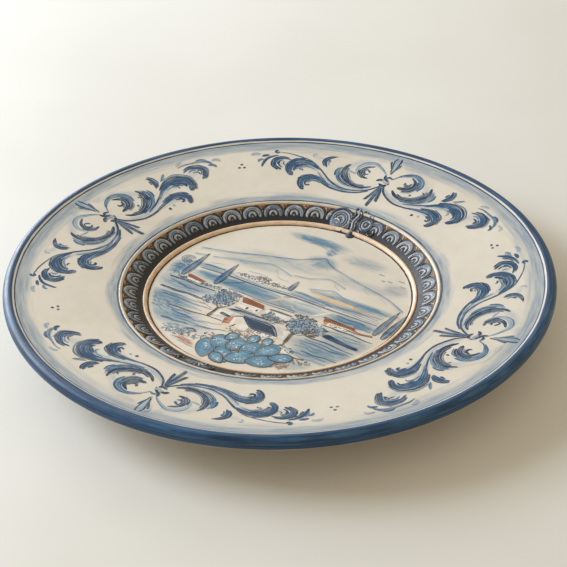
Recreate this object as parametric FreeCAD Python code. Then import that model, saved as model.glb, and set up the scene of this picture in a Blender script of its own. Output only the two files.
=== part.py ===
import FreeCAD, Part
import math
import os
from FreeCAD import Vector

# Souvenir wall plate of tin-glazed earthenware. Millimetres, +Z up. The origin is the centre of
# the foot's resting face. +Y points at the top of the painted picture.
# The biscuit body and its luted foot ring come first, then the glaze coats, the applied mouldings
# and ornaments, and last the fired enamels, each as its own solid that touches its neighbours.

# ---- driving dimensions of the plate ----
PLATE_R = 157.0          # widest radius, at the middle of the rolled lip
LIP_CENTRE_R = 153.2     # centre of the lip's oval section
LIP_CENTRE_Z = 26.5
LIP_RISE = 3.6           # lip's top above that centre
LIP_DROP = 4.6           # lip's underside below that centre
PINSTRIPE_R = 150.0      # fine blue line just inside the lip
PINSTRIPE_Z = 28.5       # height of the glazed rim at that line
RIM_INNER_R = 92.3       # edge between the sloping rim and the well's wall
RIM_INNER_Z = 18.9
WELL_R = 76.4            # edge between the wall and the flat floor
WELL_Z = 11.0            # glazed floor
UNDERSIDE_Z = 5.1        # glazed underside of the well
SECTION = 6.4            # thickness of the glazed rim, measured straight down
FOOT_OUTER_R = 70.5
FOOT_INNER_R = 63.0
FOOT_EDGE = 1.2          # rounding of the foot's resting edge
GLAZE = 0.5              # tin glaze on the front and the lip
GLAZE_BACK = 0.4         # tin glaze on the underside
ENAMEL = 0.12            # a fired brush stroke
HANGING_HOLE_R = 1.5     # two holes through the foot ring for a wall wire
HANGING_HOLE_Z = 3.0
HANGING_HOLE_ANGLE = 9.0  # degrees to each side of +Y
LIP_SPLINE_R = 148.5     # where the rim turns up into the lip

# ---- driving dimensions of the ornament ----
BAND_INNER_R = 151.2     # blue band over the lip
BAND_LOWER_Z = 23.0
PINSTRIPE_HALF = 0.4
WELL_LINE_WIDTH = 1.1    # blue line at the rim's inner edge
FOOT_LINE_OUTER = 0.2    # dark line on the floor, measured in from the wall's foot
FOOT_LINE_INNER = 0.9
FRIEZE_INNER_R = 79.2
FRIEZE_OUTER_R = 90.2
GROUND_COAT = 0.15       # dark coat under the frieze
SCALLOP_RELIEF = 0.55
ARCH_WIDTH = 11.2
ARCH_FOOT_R = 82.4
ARCH_CROWN_R = 89.4
OPENING_WIDTH = 6.0      # the arch's opening
OPENING_CROWN_R = 86.6
PEARL_WIDTH = 4.4        # the smaller arch inside the opening
PEARL_CROWN_R = 85.8
DART_TOP_R = 89.9        # ochre triangle between two arches
DART_TIP_R = 86.6
DART_HALF = 2.0
CARTOUCHE_RELIEF = 1.3
TOP_CARTOUCHE_SIZE = 1.0
BOTTOM_CARTOUCHE_SIZE = 0.8
FAN_ANGLES = (-34, -12, 12, 34)
LEFT_DART_START = 12.8   # degrees from the top to the first gap on each side
LEFT_DART_STEP = 8.84
LEFT_DARTS = 19
RIGHT_DART_START = 15.2
RIGHT_DART_STEP = 9.35
RIGHT_DARTS = 17
BEAD_R = 77.9            # cream moulding at the wall's foot
BEAD_HALF = 1.2
BEAD_RISE = 1.3
MOULDING_R = 91.3        # cream moulding at the wall's head
MOULDING_HALF = 0.9
MOULDING_RISE = 0.8
MOULDING_FACETS = 16
DOT_R = 0.9              # round dots of the trios on the rim
DOT_TRIO = ((-1.7, 127.3), (1.4, 127.0), (0.3, 130.2))
PICTURE_SCALE = 0.972    # the picture's points are drawn for a slightly larger well
PICTURE_MARGIN = 1.2     # the picture stops this far from the wall's foot

AXIS = Vector(0, 0, 1)
SLIVER = 0.02            # a cut leaves no piece smaller than this share of its solid
TALL = 60.0              # tool bodies are longer than the plate is high
WIDE = 200.0             # and wider than the plate


# ---- helpers: sections, rings and skins ----
def rim_z(radius):
    """Height of the glazed rim's straight slope."""
    slope = (PINSTRIPE_Z - RIM_INNER_Z) / (PINSTRIPE_R - RIM_INNER_R)
    return RIM_INNER_Z + slope * (radius - RIM_INNER_R)


def wall_z(radius):
    """Height of the glazed wall between the floor and the rim."""
    slope = (RIM_INNER_Z - WELL_Z) / (RIM_INNER_R - WELL_R)
    return WELL_Z + slope * (radius - WELL_R)


def section_point(radius, height):
    return Vector(radius, 0, height)


def polyline(points):
    return [Part.LineSegment(a, b).toShape() for a, b in zip(points, points[1:])]


def turned(edges):
    """Solid of revolution about the plate's axis from the edges of a closed half section."""
    face = Part.Face(Part.Wire(edges))
    return face.revolve(Vector(0, 0, 0), AXIS, 360)


def turned_polygon(points):
    corners = [section_point(r, z) for r, z in points]
    return turned(polyline(corners + corners[:1]))


def tube(inner, outer, low, high):
    return turned_polygon([(inner, low), (outer, low), (outer, high), (inner, high)])


def plate_solid(front, back):
    """The whole plate, with a coat of the given thickness on the front and on the back."""
    sink = GLAZE - front
    lift = GLAZE_BACK - back
    turn = section_point(LIP_SPLINE_R, rim_z(LIP_SPLINE_R) - sink)
    crest = section_point(LIP_CENTRE_R, LIP_CENTRE_Z + LIP_RISE - sink)
    edge = section_point(PLATE_R - sink, LIP_CENTRE_Z)
    keel = section_point(LIP_CENTRE_R, LIP_CENTRE_Z - LIP_DROP + lift)
    centre = section_point(LIP_CENTRE_R, LIP_CENTRE_Z)
    head = polyline([
        section_point(0, WELL_Z - sink),
        section_point(WELL_R, WELL_Z - sink),
        section_point(RIM_INNER_R, RIM_INNER_Z - sink),
        turn,
    ])
    rise = Part.BSplineCurve()
    slope = Vector(PINSTRIPE_R - RIM_INNER_R, 0, PINSTRIPE_Z - RIM_INNER_Z)
    rise.interpolate(Points=[turn, crest], InitialTangent=slope.normalize(), FinalTangent=Vector(1, 0, 0))
    shoulder = quarter_oval(centre, edge, crest)
    belly = quarter_oval(centre, edge, keel)
    under = polyline([
        keel,
        section_point(LIP_SPLINE_R, rim_z(LIP_SPLINE_R) - SECTION + lift),
        section_point(RIM_INNER_R + 1.0, rim_z(RIM_INNER_R + 1.0) - SECTION + lift),
        section_point(WELL_R + 2.0, UNDERSIDE_Z + lift),
        section_point(0, UNDERSIDE_Z + lift),
        section_point(0, WELL_Z - sink),
    ])
    return turned(head + [rise.toShape(), shoulder, belly] + under)


def quarter_oval(centre, side, end):
    """Quarter of an ellipse from side, level with the centre, to end, straight above or below it."""
    across = side.x - centre.x
    up = end.z - centre.z
    middle = Vector(centre.x + across * math.sqrt(0.5), 0, centre.z + up * math.sqrt(0.5))
    curve = Part.BSplineCurve()
    curve.interpolate(
        Points=[side, middle, end],
        InitialTangent=Vector(0, 0, math.copysign(1, up)),
        FinalTangent=Vector(-1, 0, 0),
    )
    return curve.toShape()


def rim_skin(low, high):
    """Thin conical sheet that lies on the rim between two heights above its glaze."""
    inner = RIM_INNER_R + 0.3
    outer = LIP_SPLINE_R
    return turned_polygon([
        (inner, rim_z(inner) + low), (outer, rim_z(outer) + low),
        (outer, rim_z(outer) + high), (inner, rim_z(inner) + high),
    ])


def wall_skin(inner, outer, low, high):
    """Thin conical sheet on the well's wall between two radii and two heights above its glaze."""
    return turned_polygon([
        (inner, wall_z(inner) + low), (outer, wall_z(outer) + low),
        (outer, wall_z(outer) + high), (inner, wall_z(inner) + high),
    ])


def moulding(radius, half_width, height):
    """Ring with a faceted half-round section that sits on the wall, cut clear of the glaze below it."""
    turns = [2 * math.pi * step / MOULDING_FACETS for step in range(MOULDING_FACETS)]
    section = [(radius + half_width * math.cos(a), wall_z(radius) + height * math.sin(a)) for a in turns]
    return turned_polygon(section).cut(GLAZED)


# ---- helpers: brush strokes in plan ----
def plan(x, y):
    return Vector(x, y, 0)


def polar(radius, degrees):
    """Point in plan at an angle measured clockwise from +Y."""
    angle = math.radians(degrees)
    return (radius * math.sin(angle), radius * math.cos(angle))


def smooth_edge(points):
    if len(points) == 2:
        return Part.LineSegment(points[0], points[1]).toShape()
    curve = Part.BSplineCurve()
    curve.interpolate(points)
    return curve.toShape()


def brush(stroke):
    """Face of one brush stroke: (x, y, width) points along its middle, with round ends."""
    middle = [plan(x, y) for x, y, _ in stroke]
    spine = Part.BSplineCurve()
    spine.interpolate(middle)
    left = []
    right = []
    heading = []
    for point, (_, _, width) in zip(middle, stroke):
        direction = spine.tangent(spine.parameter(point))[0]
        side = AXIS.cross(direction).normalize() * (max(width, 0.3) / 2)
        left.append(point + side)
        right.append(point - side)
        heading.append(direction)
    tip_reach = max(stroke[-1][2], 0.3) / 2
    tail_reach = max(stroke[0][2], 0.3) / 2
    tip = Part.Arc(left[-1], middle[-1] + heading[-1] * tip_reach, right[-1]).toShape()
    tail = Part.Arc(right[0], middle[0] - heading[0] * tail_reach, left[0]).toShape()
    return Part.Face(Part.Wire([smooth_edge(left), tip, smooth_edge(right[::-1]), tail]))


def blot(points):
    """Face with a smooth closed outline through the given points."""
    curve = Part.BSplineCurve()
    curve.interpolate([plan(x, y) for x, y in points], PeriodicFlag=True)
    return Part.Face(Part.Wire([curve.toShape()]))


def patch(points):
    """Face with straight sides."""
    corners = [plan(x, y) for x, y in points]
    return Part.Face(Part.Wire(polyline(corners + corners[:1])))


def leaf(x, y, length, width, degrees):
    """Pointed oval leaf that grows from x, y in the given direction, clockwise from +Y."""
    dx, dy = polar(1.0, degrees)
    side = (dy * width / 2, -dx * width / 2)
    return blot([
        (x, y),
        (x + dx * length * 0.5 + side[0], y + dy * length * 0.5 + side[1]),
        (x + dx * length, y + dy * length),
        (x + dx * length * 0.5 - side[0], y + dy * length * 0.5 - side[1]),
    ])


def raised(faces, height=TALL):
    """Upright prisms over plan faces, joined where they overlap."""
    prisms = [face.extrude(Vector(0, 0, height)) for face in faces]
    if len(prisms) == 1:
        return prisms[0]
    return prisms[0].fuse(prisms[1:])


def spread(faces, skin):
    """Separate solids of a sheet for faces that don't meet."""
    pieces = [face.extrude(Vector(0, 0, TALL)).common(skin) for face in faces]
    return Part.makeCompound(pieces)


def clear_of(shape, tools):
    """The shape with the tools cut out of those of its solids that they reach, without slivers."""
    kept = []
    for solid in shape.Solids:
        near = [tool for tool in tools if solid.BoundBox.intersect(tool.BoundBox)]
        rest = solid.cut(near).Solids if near else [solid]
        kept += [piece for piece in rest if piece.Volume > SLIVER * solid.Volume]
    return Part.makeCompound(kept)


def turned_in_plan(face, degrees):
    """Copy of a plan face turned clockwise about the plate's axis."""
    copy = face.copy()
    copy.rotate(Vector(0, 0, 0), AXIS, -degrees)
    return copy


def mirrored(face):
    return face.mirror(Vector(0, 0, 0), Vector(1, 0, 0))


# ---- body, foot and coats ----
CLAY = plate_solid(0, 0)
GLAZED = plate_solid(GLAZE, GLAZE_BACK)


def foot_ring():
    top = UNDERSIDE_Z + GLAZE_BACK
    ring = turned_polygon([
        (FOOT_INNER_R, top), (FOOT_INNER_R, FOOT_EDGE), (FOOT_INNER_R + FOOT_EDGE, 0),
        (FOOT_OUTER_R - FOOT_EDGE, 0), (FOOT_OUTER_R, FOOT_EDGE), (FOOT_OUTER_R, top),
    ])
    for side in (-1, 1):
        x, y = polar(FOOT_INNER_R - 5, side * HANGING_HOLE_ANGLE)
        dx, dy = polar(1, side * HANGING_HOLE_ANGLE)
        start = Vector(x, y, HANGING_HOLE_Z)
        drill = Part.makeCylinder(HANGING_HOLE_R, FOOT_OUTER_R - FOOT_INNER_R + 10, start, Vector(dx, dy, 0))
        ring = ring.cut(drill)
    return ring


def coats():
    """Front coat, back coat and recess coat, and the blue band over the lip."""
    coat = GLAZED.cut(CLAY)
    band_zone = tube(BAND_INNER_R, WIDE, BAND_LOWER_Z, TALL)
    band = coat.common(band_zone)
    rest = coat.cut(band_zone).cut(tube(FOOT_INNER_R, FOOT_OUTER_R, -1, UNDERSIDE_Z + GLAZE_BACK))
    sheets = sorted(rest.Solids, key=lambda solid: solid.BoundBox.ZMax)
    recess, back, front = sheets
    return front, back, recess, band


# ---- frieze on the well's wall ----
def dart_angles():
    left = [-LEFT_DART_START - LEFT_DART_STEP * step for step in range(LEFT_DARTS)]
    right = [RIGHT_DART_START + RIGHT_DART_STEP * step for step in range(RIGHT_DARTS)]
    return left, right


def scallop_angles():
    """Middles of the arches, one between each two darts and one beside the top cartouche."""
    left, right = dart_angles()
    angles = []
    for side in (left, right):
        angles.append(side[0] - (side[1] - side[0]) / 2)
        angles += [(a + b) / 2 for a, b in zip(side, side[1:])]
    return angles


def arch(width, foot, crown):
    """Round-headed arch with its foot towards the well's centre."""
    half = width / 2
    spring = crown - half
    return Part.Face(Part.Wire([
        Part.LineSegment(plan(-half, foot), plan(half, foot)).toShape(),
        Part.LineSegment(plan(half, foot), plan(half, spring)).toShape(),
        Part.Arc(plan(half, spring), plan(0, crown), plan(-half, spring)).toShape(),
        Part.LineSegment(plan(-half, spring), plan(-half, foot)).toShape(),
    ]))


def scallops():
    """Outer arches as relief bands, each open at its foot, and the pearls inside them."""
    opening = arch(OPENING_WIDTH, ARCH_FOOT_R - 1, OPENING_CROWN_R)
    band = arch(ARCH_WIDTH, ARCH_FOOT_R, ARCH_CROWN_R).cut(opening)
    pearl = arch(PEARL_WIDTH, ARCH_FOOT_R + 0.2, PEARL_CROWN_R)
    skin = wall_skin(FRIEZE_INNER_R, FRIEZE_OUTER_R, GROUND_COAT, SCALLOP_RELIEF)
    bands = [turned_in_plan(band, angle) for angle in scallop_angles()]
    pearls = [turned_in_plan(pearl, angle) for angle in scallop_angles()]
    return spread(bands, skin), spread(pearls, skin)


def darts():
    """Ochre triangles at the wall's head, between the arches."""
    skin = wall_skin(FRIEZE_INNER_R, FRIEZE_OUTER_R, GROUND_COAT, GROUND_COAT + ENAMEL)
    left, right = dart_angles()
    wedge = patch([(-DART_HALF, DART_TOP_R), (DART_HALF, DART_TOP_R), (0, DART_TIP_R)])
    return spread([turned_in_plan(wedge, angle) for angle in left + right], skin)


def cartouche(size):
    """Shell ornament over the wall: a fan, two side volutes and a pendant."""
    fan = [leaf(0, 82.0, 10.5 * size, 3.0 * size, angle) for angle in FAN_ANGLES]
    curl = brush([(1.5, 84.0, 2.2), (6.0, 81.5, 3.0), (10.5 * size, 82.6, 2.4), (11.5 * size, 86.0, 1.2)])
    pendant = leaf(0, 83.5, -9.0 * size, 4.0 * size, 0)
    return fan + [curl, mirrored(curl), pendant]


def cartouche_solid(size, degrees):
    faces = [turned_in_plan(face, degrees) for face in cartouche(size)]
    lifted = GLAZED.copy()
    lifted.translate(Vector(0, 0, CARTOUCHE_RELIEF))
    return raised(faces).common(lifted).cut(GLAZED)


# ---- scroll sprays on the rim ----
# Half a spray, with its knot on +Y; the other half is its mirror image. (x, y, width) in mm.
HALF_SPRAY = [
    [(1.0, 125.0, 1.2), (5.0, 131.5, 1.6), (11.5, 134.6, 2.4), (17.5, 132.5, 4.0), (19.6, 126.5, 4.6),
     (16.5, 121.8, 2.6), (9.5, 121.4, 1.4)],
    [(8.0, 118.5, 1.2), (13.5, 113.8, 2.4), (21.0, 112.2, 3.6), (28.5, 115.0, 4.4), (32.0, 121.5, 3.2),
     (31.2, 129.0, 1.2)],
    [(0.8, 119.5, 1.2), (4.5, 112.6, 1.8), (13.0, 107.4, 2.2), (25.0, 106.2, 2.6), (36.0, 108.6, 3.0),
     (44.0, 108.0, 4.2), (47.6, 103.0, 4.4), (43.5, 96.0, 1.6)],
    [(30.0, 110.2, 1.4), (39.0, 113.6, 2.6), (48.5, 117.2, 4.2), (56.5, 115.4, 5.2), (59.6, 109.0, 5.0),
     (54.0, 102.4, 2.0)],
    [(62.5, 115.6, 1.2), (68.5, 116.6, 2.0), (73.5, 112.4, 3.8), (72.8, 106.6, 3.4), (67.4, 102.4, 1.4)],
    [(57.0, 119.4, 0.8), (66.0, 119.8, 0.9), (74.5, 116.6, 1.0), (80.4, 110.6, 1.4), (79.6, 104.4, 1.2)],
    [(41.8, 119.5, 1.2), (45.4, 123.6, 3.0), (45.2, 129.8, 1.0)],
]
KNOT = [
    [(-6.5, 124.4, 2.2), (-3.0, 124.6, 2.0), (0.0, 122.8, 2.4), (3.0, 124.6, 2.0), (6.0, 123.2, 2.0)],
    [(-0.6, 127.0, 0.8), (-1.0, 136.0, 2.0), (-1.4, 141.0, 3.8), (-1.6, 146.4, 1.2)],
    [(0.0, 119.0, 1.2), (0.1, 108.0, 1.6), (0.2, 98.6, 2.0)],
    [(-0.6, 118.0, 1.0), (-2.4, 109.0, 1.2), (-3.2, 104.0, 1.6)],
    [(0.6, 118.0, 1.0), (2.2, 109.0, 1.2), (3.2, 104.6, 1.6)],
]
SPRAYS = {"spray_top": 0, "spray_right": 90, "spray_bottom": 180, "spray_left": 270}
DOT_ANGLES = (46, 135, 224, 317)


def spray(degrees):
    half = [brush(stroke) for stroke in HALF_SPRAY]
    whole = half + [mirrored(face) for face in half] + [brush(stroke) for stroke in KNOT]
    faces = [turned_in_plan(face, degrees) for face in whole]
    return raised(faces).common(rim_skin(0, ENAMEL))


def dot_trios():
    """Three small dots between each two sprays."""
    dots = []
    for angle in DOT_ANGLES:
        for across, out in DOT_TRIO:
            disc = Part.Face(Part.Wire([Part.Circle(plan(across, out), AXIS, DOT_R).toShape()]))
            dots.append(turned_in_plan(disc, angle))
    return spread(dots, rim_skin(0, ENAMEL))


# ---- painted picture on the floor ----
# Plan points in mm, drawn for a well 1 / PICTURE_SCALE larger.
PICTURE = {
    "clouds": [
        blot([(-24, 60), (-10, 64), (6, 61), (16, 61), (8, 57), (-6, 56), (-16, 58)]),
        blot([(3, 57), (7, 54), (6, 50), (3, 51)]),
    ],
    "mountain_ridges": [
        brush([(-70, 20, 1.0), (-45, 26.5, 1.4), (-22, 34.5, 1.4), (-8, 39.5, 1.6), (3.5, 47.5, 2.2)]),
        brush([(3.5, 47.5, 2.0), (12, 41.5, 1.6), (28, 36, 1.4), (48, 30.5, 1.2), (68, 22, 1.0)]),
        brush([(-48, 17.5, 0.9), (-34, 21.5, 1.1), (-21, 25, 1.2), (-10, 22, 1.0), (4, 20, 0.8)]),
        brush([(5, 23, 0.8), (17, 28.5, 1.0), (30, 24.5, 0.8)]),
    ],
    "hill_bands": [
        brush([(6, 7.2, 1.2), (20, 6.4, 1.6), (36, 5.4, 1.2)]),
        brush([(30, 14, 1.2), (46, 11.5, 2.4), (64, 12.5, 1.2)]),
        brush([(36, 6.5, 1.2), (50, 8, 1.6), (64, 7, 1.2)]),
        brush([(-70, 12.8, 1.0), (-58, 15.2, 1.4), (-44, 18.5, 1.0)]),
    ],
    "field_wash": [
        patch([(-72, 1.4), (68, 0.6), (68, -6), (36, -10), (-28, -10), (-73, -8)]),
        patch([(-70, -18), (-34, -18), (-30, -29), (-68, -28)]),
        patch([(38, -29), (70, -29), (62, -46), (36, -46)]),
        patch([(-64, -32), (-28, -31), (-28, -39), (-60, -40)]),
    ],
    "field_furrows": [
        brush([(-68, -16, 0.9), (-50, -16.4, 1.4), (-34, -17, 1.0)]),
        brush([(-50, -41.6, 1.0), (-30, -41.4, 1.2), (-16, -40.6, 1.0)]),
        brush([(-48, -53.8, 1.4), (-38, -53.6, 2.0), (-30, -53, 1.0)]),
        brush([(44, -23.2, 2.4), (56, -24.4, 2.6), (68, -26, 2.0)]),
        brush([(42, -41.8, 1.0), (54, -42.2, 1.4), (62, -42.6, 0.9)]),
        brush([(40, -15.4, 0.9), (56, -15.6, 1.2), (71, -16.4, 0.9)]),
    ],
    "cypresses": [
        leaf(-62.8, -11.5, 27.6, 5.4, 2), leaf(-40.2, -10.6, 25.6, 5.0, 0),
        leaf(2.2, 6.4, 10.6, 3.2, 3), leaf(68.0, -9.0, 28.6, 4.6, 5), leaf(73.4, -10.4, 28.6, 5.0, 6),
    ],
    "tree_crowns": [
        blot([(-33, -16), (-29, -12), (-22, -11.5), (-18.5, -17), (-20, -25), (-26, -28), (-32.5, -24)]),
        blot([(20.5, -16), (25, -11.5), (33, -12), (37.5, -18), (36, -26), (28, -30), (21.5, -25)]),
    ],
    "tree_trunks": [
        brush([(-23.8, -30, 1.8), (-24.2, -40, 2.0)]),
        brush([(27.8, -31.4, 1.8), (28.4, -40.4, 2.0)]),
    ],
    "cottage_roof": [
        patch([(-6.2, -30.2), (14.6, -30.4), (21.4, -37.4), (4.4, -37.8)]),
    ],
    "house_walls": [
        patch([(-14, -36.4), (-6.4, -31.4), (2.8, -37.4), (3.4, -42.4), (-12.6, -42.2)]),
        patch([(-16.5, -18.4), (0.4, -18.8), (0.4, -25), (-16, -25)]),
        patch([(-59, -12.4), (-46.4, -12.8), (-46.4, -15.4), (-60, -15.4)]),
        patch([(38.6, -10.6), (52.4, -10.6), (51.6, -14.4), (40, -14.4)]),
        patch([(4.2, -17.4), (18.6, -17.4), (18.6, -22), (8, -22)]),
    ],
    "tile_roofs": [
        patch([(-17.4, -14.2), (-2.2, -14.4), (0.6, -18.4), (-16.4, -17.6)]),
        patch([(-60.4, -9.6), (-46.8, -11.2), (-46.2, -12.6), (-58.8, -12.2)]),
        patch([(35, -8.2), (56, -9.0), (57, -10.4), (38.6, -10.4)]),
    ],
    "prickly_pear": [
        leaf(-9.5, -73, 13.4, 8.6, -14), leaf(3.2, -73.4, 12.4, 8.4, 4), leaf(9.4, -70.4, 10.0, 8.6, 40),
        leaf(-2.6, -63.8, 11.4, 7.0, -28), leaf(9.2, -61.6, 9.6, 6.8, -32), leaf(11.0, -59.6, 10.6, 7.0, 24),
        leaf(20.4, -58.8, 11.6, 8.0, 28), leaf(20.0, -68.4, 12.0, 6.8, 50), leaf(29.6, -57.6, 9.8, 5.8, 68),
        leaf(11.6, -48.8, 7.0, 5.2, 14), leaf(22.8, -48.2, 6.6, 5.0, 30),
    ],
    "earth_patches": [
        blot([(-36, -67), (-26, -65), (-15, -68), (-13, -71.4), (-20, -71.6), (-30, -69.6)]),
    ],
    "birds": [
        brush([(54.0, 47.4, 0.5), (56.4, 47.8, 0.9), (58.8, 47.2, 0.5)]),
        brush([(57.0, 42.6, 0.5), (59.2, 43.2, 0.9), (61.4, 42.6, 0.5)]),
        brush([(40.0, 47.4, 0.5), (42.2, 48.0, 0.7), (44.4, 49.0, 0.5)]),
        brush([(48.0, 43.6, 0.5), (50.2, 44.2, 0.7), (52.4, 44.0, 0.5)]),
    ],
}


def picture_layers():
    """Enamel patches side by side on the floor: each later layer is cut out of the earlier ones."""
    lens = tube(0, WELL_R - PICTURE_MARGIN, 0, ENAMEL)
    layers = {}
    for name, faces in PICTURE.items():
        layer = raised(faces, ENAMEL)
        layer.scale(PICTURE_SCALE)
        layers[name] = layer.common(lens)
    names = list(layers)
    solids = {}
    for order, name in enumerate(names):
        later = [solid for other in names[order + 1:] for solid in layers[other].Solids]
        solid = clear_of(layers[name], later)
        solid.translate(Vector(0, 0, WELL_Z))
        solids[name] = solid
    return solids


# ---- all the nodes ----
def build():
    front, back, recess, band = coats()
    bands, pearls = scallops()
    top_shell = cartouche_solid(TOP_CARTOUCHE_SIZE, 0)
    bottom_shell = cartouche_solid(BOTTOM_CARTOUCHE_SIZE, 180)
    shells = [top_shell, bottom_shell]
    ground = wall_skin(FRIEZE_INNER_R, FRIEZE_OUTER_R, 0, GROUND_COAT)
    pinstripe = tube(PINSTRIPE_R - PINSTRIPE_HALF, PINSTRIPE_R + PINSTRIPE_HALF, 0, TALL)
    foot_line = tube(WELL_R - FOOT_LINE_INNER, WELL_R - FOOT_LINE_OUTER, WELL_Z, WELL_Z + ENAMEL)
    lifted = GLAZED.copy()
    lifted.translate(Vector(0, 0, ENAMEL))
    nodes = {
        "clay_body": CLAY,
        "foot_ring": foot_ring(),
        "glaze_front": front,
        "glaze_back": back,
        "glaze_recess": recess,
        "lip_band": band,
        "rim_pinstripe": lifted.common(pinstripe).cut(GLAZED),
        "well_line": rim_skin(0, ENAMEL).common(tube(0, RIM_INNER_R + WELL_LINE_WIDTH, 0, TALL)),
        "head_moulding": clear_of(moulding(MOULDING_R, MOULDING_HALF, MOULDING_RISE), shells),
        "foot_bead": clear_of(moulding(BEAD_R, BEAD_HALF, BEAD_RISE), shells),
        "bead_line": clear_of(foot_line, shells),
        "frieze_ground": clear_of(ground, shells),
        "frieze_arches": clear_of(bands, shells),
        "frieze_pearls": clear_of(pearls, shells),
        "frieze_darts": clear_of(darts(), shells),
        "cartouche_top": top_shell,
        "cartouche_bottom": bottom_shell,
        "dot_trios": dot_trios(),
    }
    for name, degrees in SPRAYS.items():
        nodes[name] = spray(degrees)
    nodes.update(picture_layers())
    return nodes


def main():
    os.makedirs("parts", exist_ok=True)
    for name, shape in build().items():
        shape.exportStep("parts/" + name + ".step")
        print(name, len(shape.Solids), "solids", round(shape.Volume, 2), "mm3, valid", shape.isValid())


main()
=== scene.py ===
import math
import bmesh
import bpy
import numpy as np
from mathutils import Matrix, Vector


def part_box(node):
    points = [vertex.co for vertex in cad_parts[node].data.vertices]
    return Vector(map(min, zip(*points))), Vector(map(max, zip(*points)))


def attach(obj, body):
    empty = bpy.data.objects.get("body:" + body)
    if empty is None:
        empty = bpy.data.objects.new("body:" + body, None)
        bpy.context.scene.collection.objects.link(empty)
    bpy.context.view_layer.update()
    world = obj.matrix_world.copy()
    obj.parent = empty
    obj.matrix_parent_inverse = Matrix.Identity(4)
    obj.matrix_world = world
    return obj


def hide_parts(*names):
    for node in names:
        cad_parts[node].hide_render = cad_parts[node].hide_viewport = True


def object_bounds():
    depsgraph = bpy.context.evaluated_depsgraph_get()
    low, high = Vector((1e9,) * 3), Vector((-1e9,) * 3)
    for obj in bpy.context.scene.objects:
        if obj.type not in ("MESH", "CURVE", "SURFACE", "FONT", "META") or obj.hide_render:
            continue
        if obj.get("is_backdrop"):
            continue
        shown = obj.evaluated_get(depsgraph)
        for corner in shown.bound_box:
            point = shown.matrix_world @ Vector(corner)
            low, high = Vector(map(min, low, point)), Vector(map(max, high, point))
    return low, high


# A hand-painted, tin-glazed souvenir plate lying on a pale table. Lengths in this script are in
# millimetres until a mesh is made; the plate's axis is +Z and +Y is the top of its picture.

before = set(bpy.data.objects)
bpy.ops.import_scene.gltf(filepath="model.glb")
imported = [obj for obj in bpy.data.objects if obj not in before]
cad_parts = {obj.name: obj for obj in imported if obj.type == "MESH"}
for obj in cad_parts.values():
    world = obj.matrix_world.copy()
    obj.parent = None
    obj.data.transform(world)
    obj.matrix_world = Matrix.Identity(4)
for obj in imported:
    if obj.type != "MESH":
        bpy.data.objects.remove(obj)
CAD_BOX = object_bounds()
MM = 0.001


def cad(node):
    """Lowest and highest corner of a CAD node, in millimetres."""
    low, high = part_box(node)
    return np.array(low) / MM, np.array(high) / MM


# ---- sizes, read from the frame where it has them ----
LIP_R = cad("lip_band")[1][0]
LIP_TOP_Z = cad("lip_band")[1][2]
BAND_LOWER_Z = cad("lip_band")[0][2]
LIP_REACH = 3.8          # from the middle of the rolled lip out to its edge
LIP_RISE = 3.6           # and up to its crest
LIP_DROP = 4.6           # and down to its lowest line
LIP_CENTRE_R = LIP_R - LIP_REACH
LIP_CENTRE_Z = LIP_TOP_Z - LIP_RISE
LIP_BOTTOM_Z = LIP_CENTRE_Z - LIP_DROP
PINSTRIPE_R = cad("rim_pinstripe")[1][0] - 0.4
BAND_INNER_R = PINSTRIPE_R + 1.2      # the lip band's inner edge
WELL_R = cad("bead_line")[1][0] + 0.2  # edge between the flat floor and the wall
WELL_Z = cad("bead_line")[0][2]
RIM_INNER_R = cad("well_line")[1][0] - 1.1  # edge between the wall and the rim
RIM_INNER_Z = cad("well_line")[0][2] - 0.05
RIM_SLOPE = 0.1664
WALL_SLOPE = (RIM_INNER_Z - WELL_Z) / (RIM_INNER_R - WELL_R)
LIP_TURN_R = PINSTRIPE_R - 1.5        # here the rim starts to curve up to the lip
SECTION = 6.4            # thickness of the rim, measured straight down
UNDERSIDE_Z = cad("glaze_recess")[0][2]
FOOT_OUTER_R = cad("foot_ring")[1][0]
FOOT_INNER_R = FOOT_OUTER_R - 7.5
BEAD_HALF = 1.2          # half the width of the bead at the wall's foot
BEAD_RISE = 1.2
BEAD_R = cad("foot_bead")[1][0] - BEAD_HALF
FRIEZE_INNER_R = BEAD_R + BEAD_HALF + 0.1
FRIEZE_OUTER_R = 90.2
MOULDING_R = 91.3        # moulding at the wall's head
MOULDING_HALF = 0.95
MOULDING_RISE = 0.75
COAT = 0.4               # thickness of a glaze coat
TURN = 2 * math.pi
ROUND = 480              # points round the plate
FOOT_SOFT = 1.2          # rounding of the edge at the wall's foot
HEAD_SOFT = 1.4          # and at its head
SHARP_ANGLE = 50         # edges sharper than this many degrees stay crisp
TINY = 1e-6
MERGE = 1e-7             # metres; points nearer than this are one point


# ---- the glazed surface ----
def ramp(t, soft):
    """0 before t = 0 and t after it, with the corner rounded over soft on each side."""
    t = np.asarray(t, float)
    return np.where(t <= -soft, 0.0, np.where(t >= soft, t, (t + soft) ** 2 / (4 * soft)))


def smoothstep(low, high, value):
    t = np.clip((np.asarray(value, float) - low) / (high - low), 0, 1)
    return t * t * (3 - 2 * t)


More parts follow.
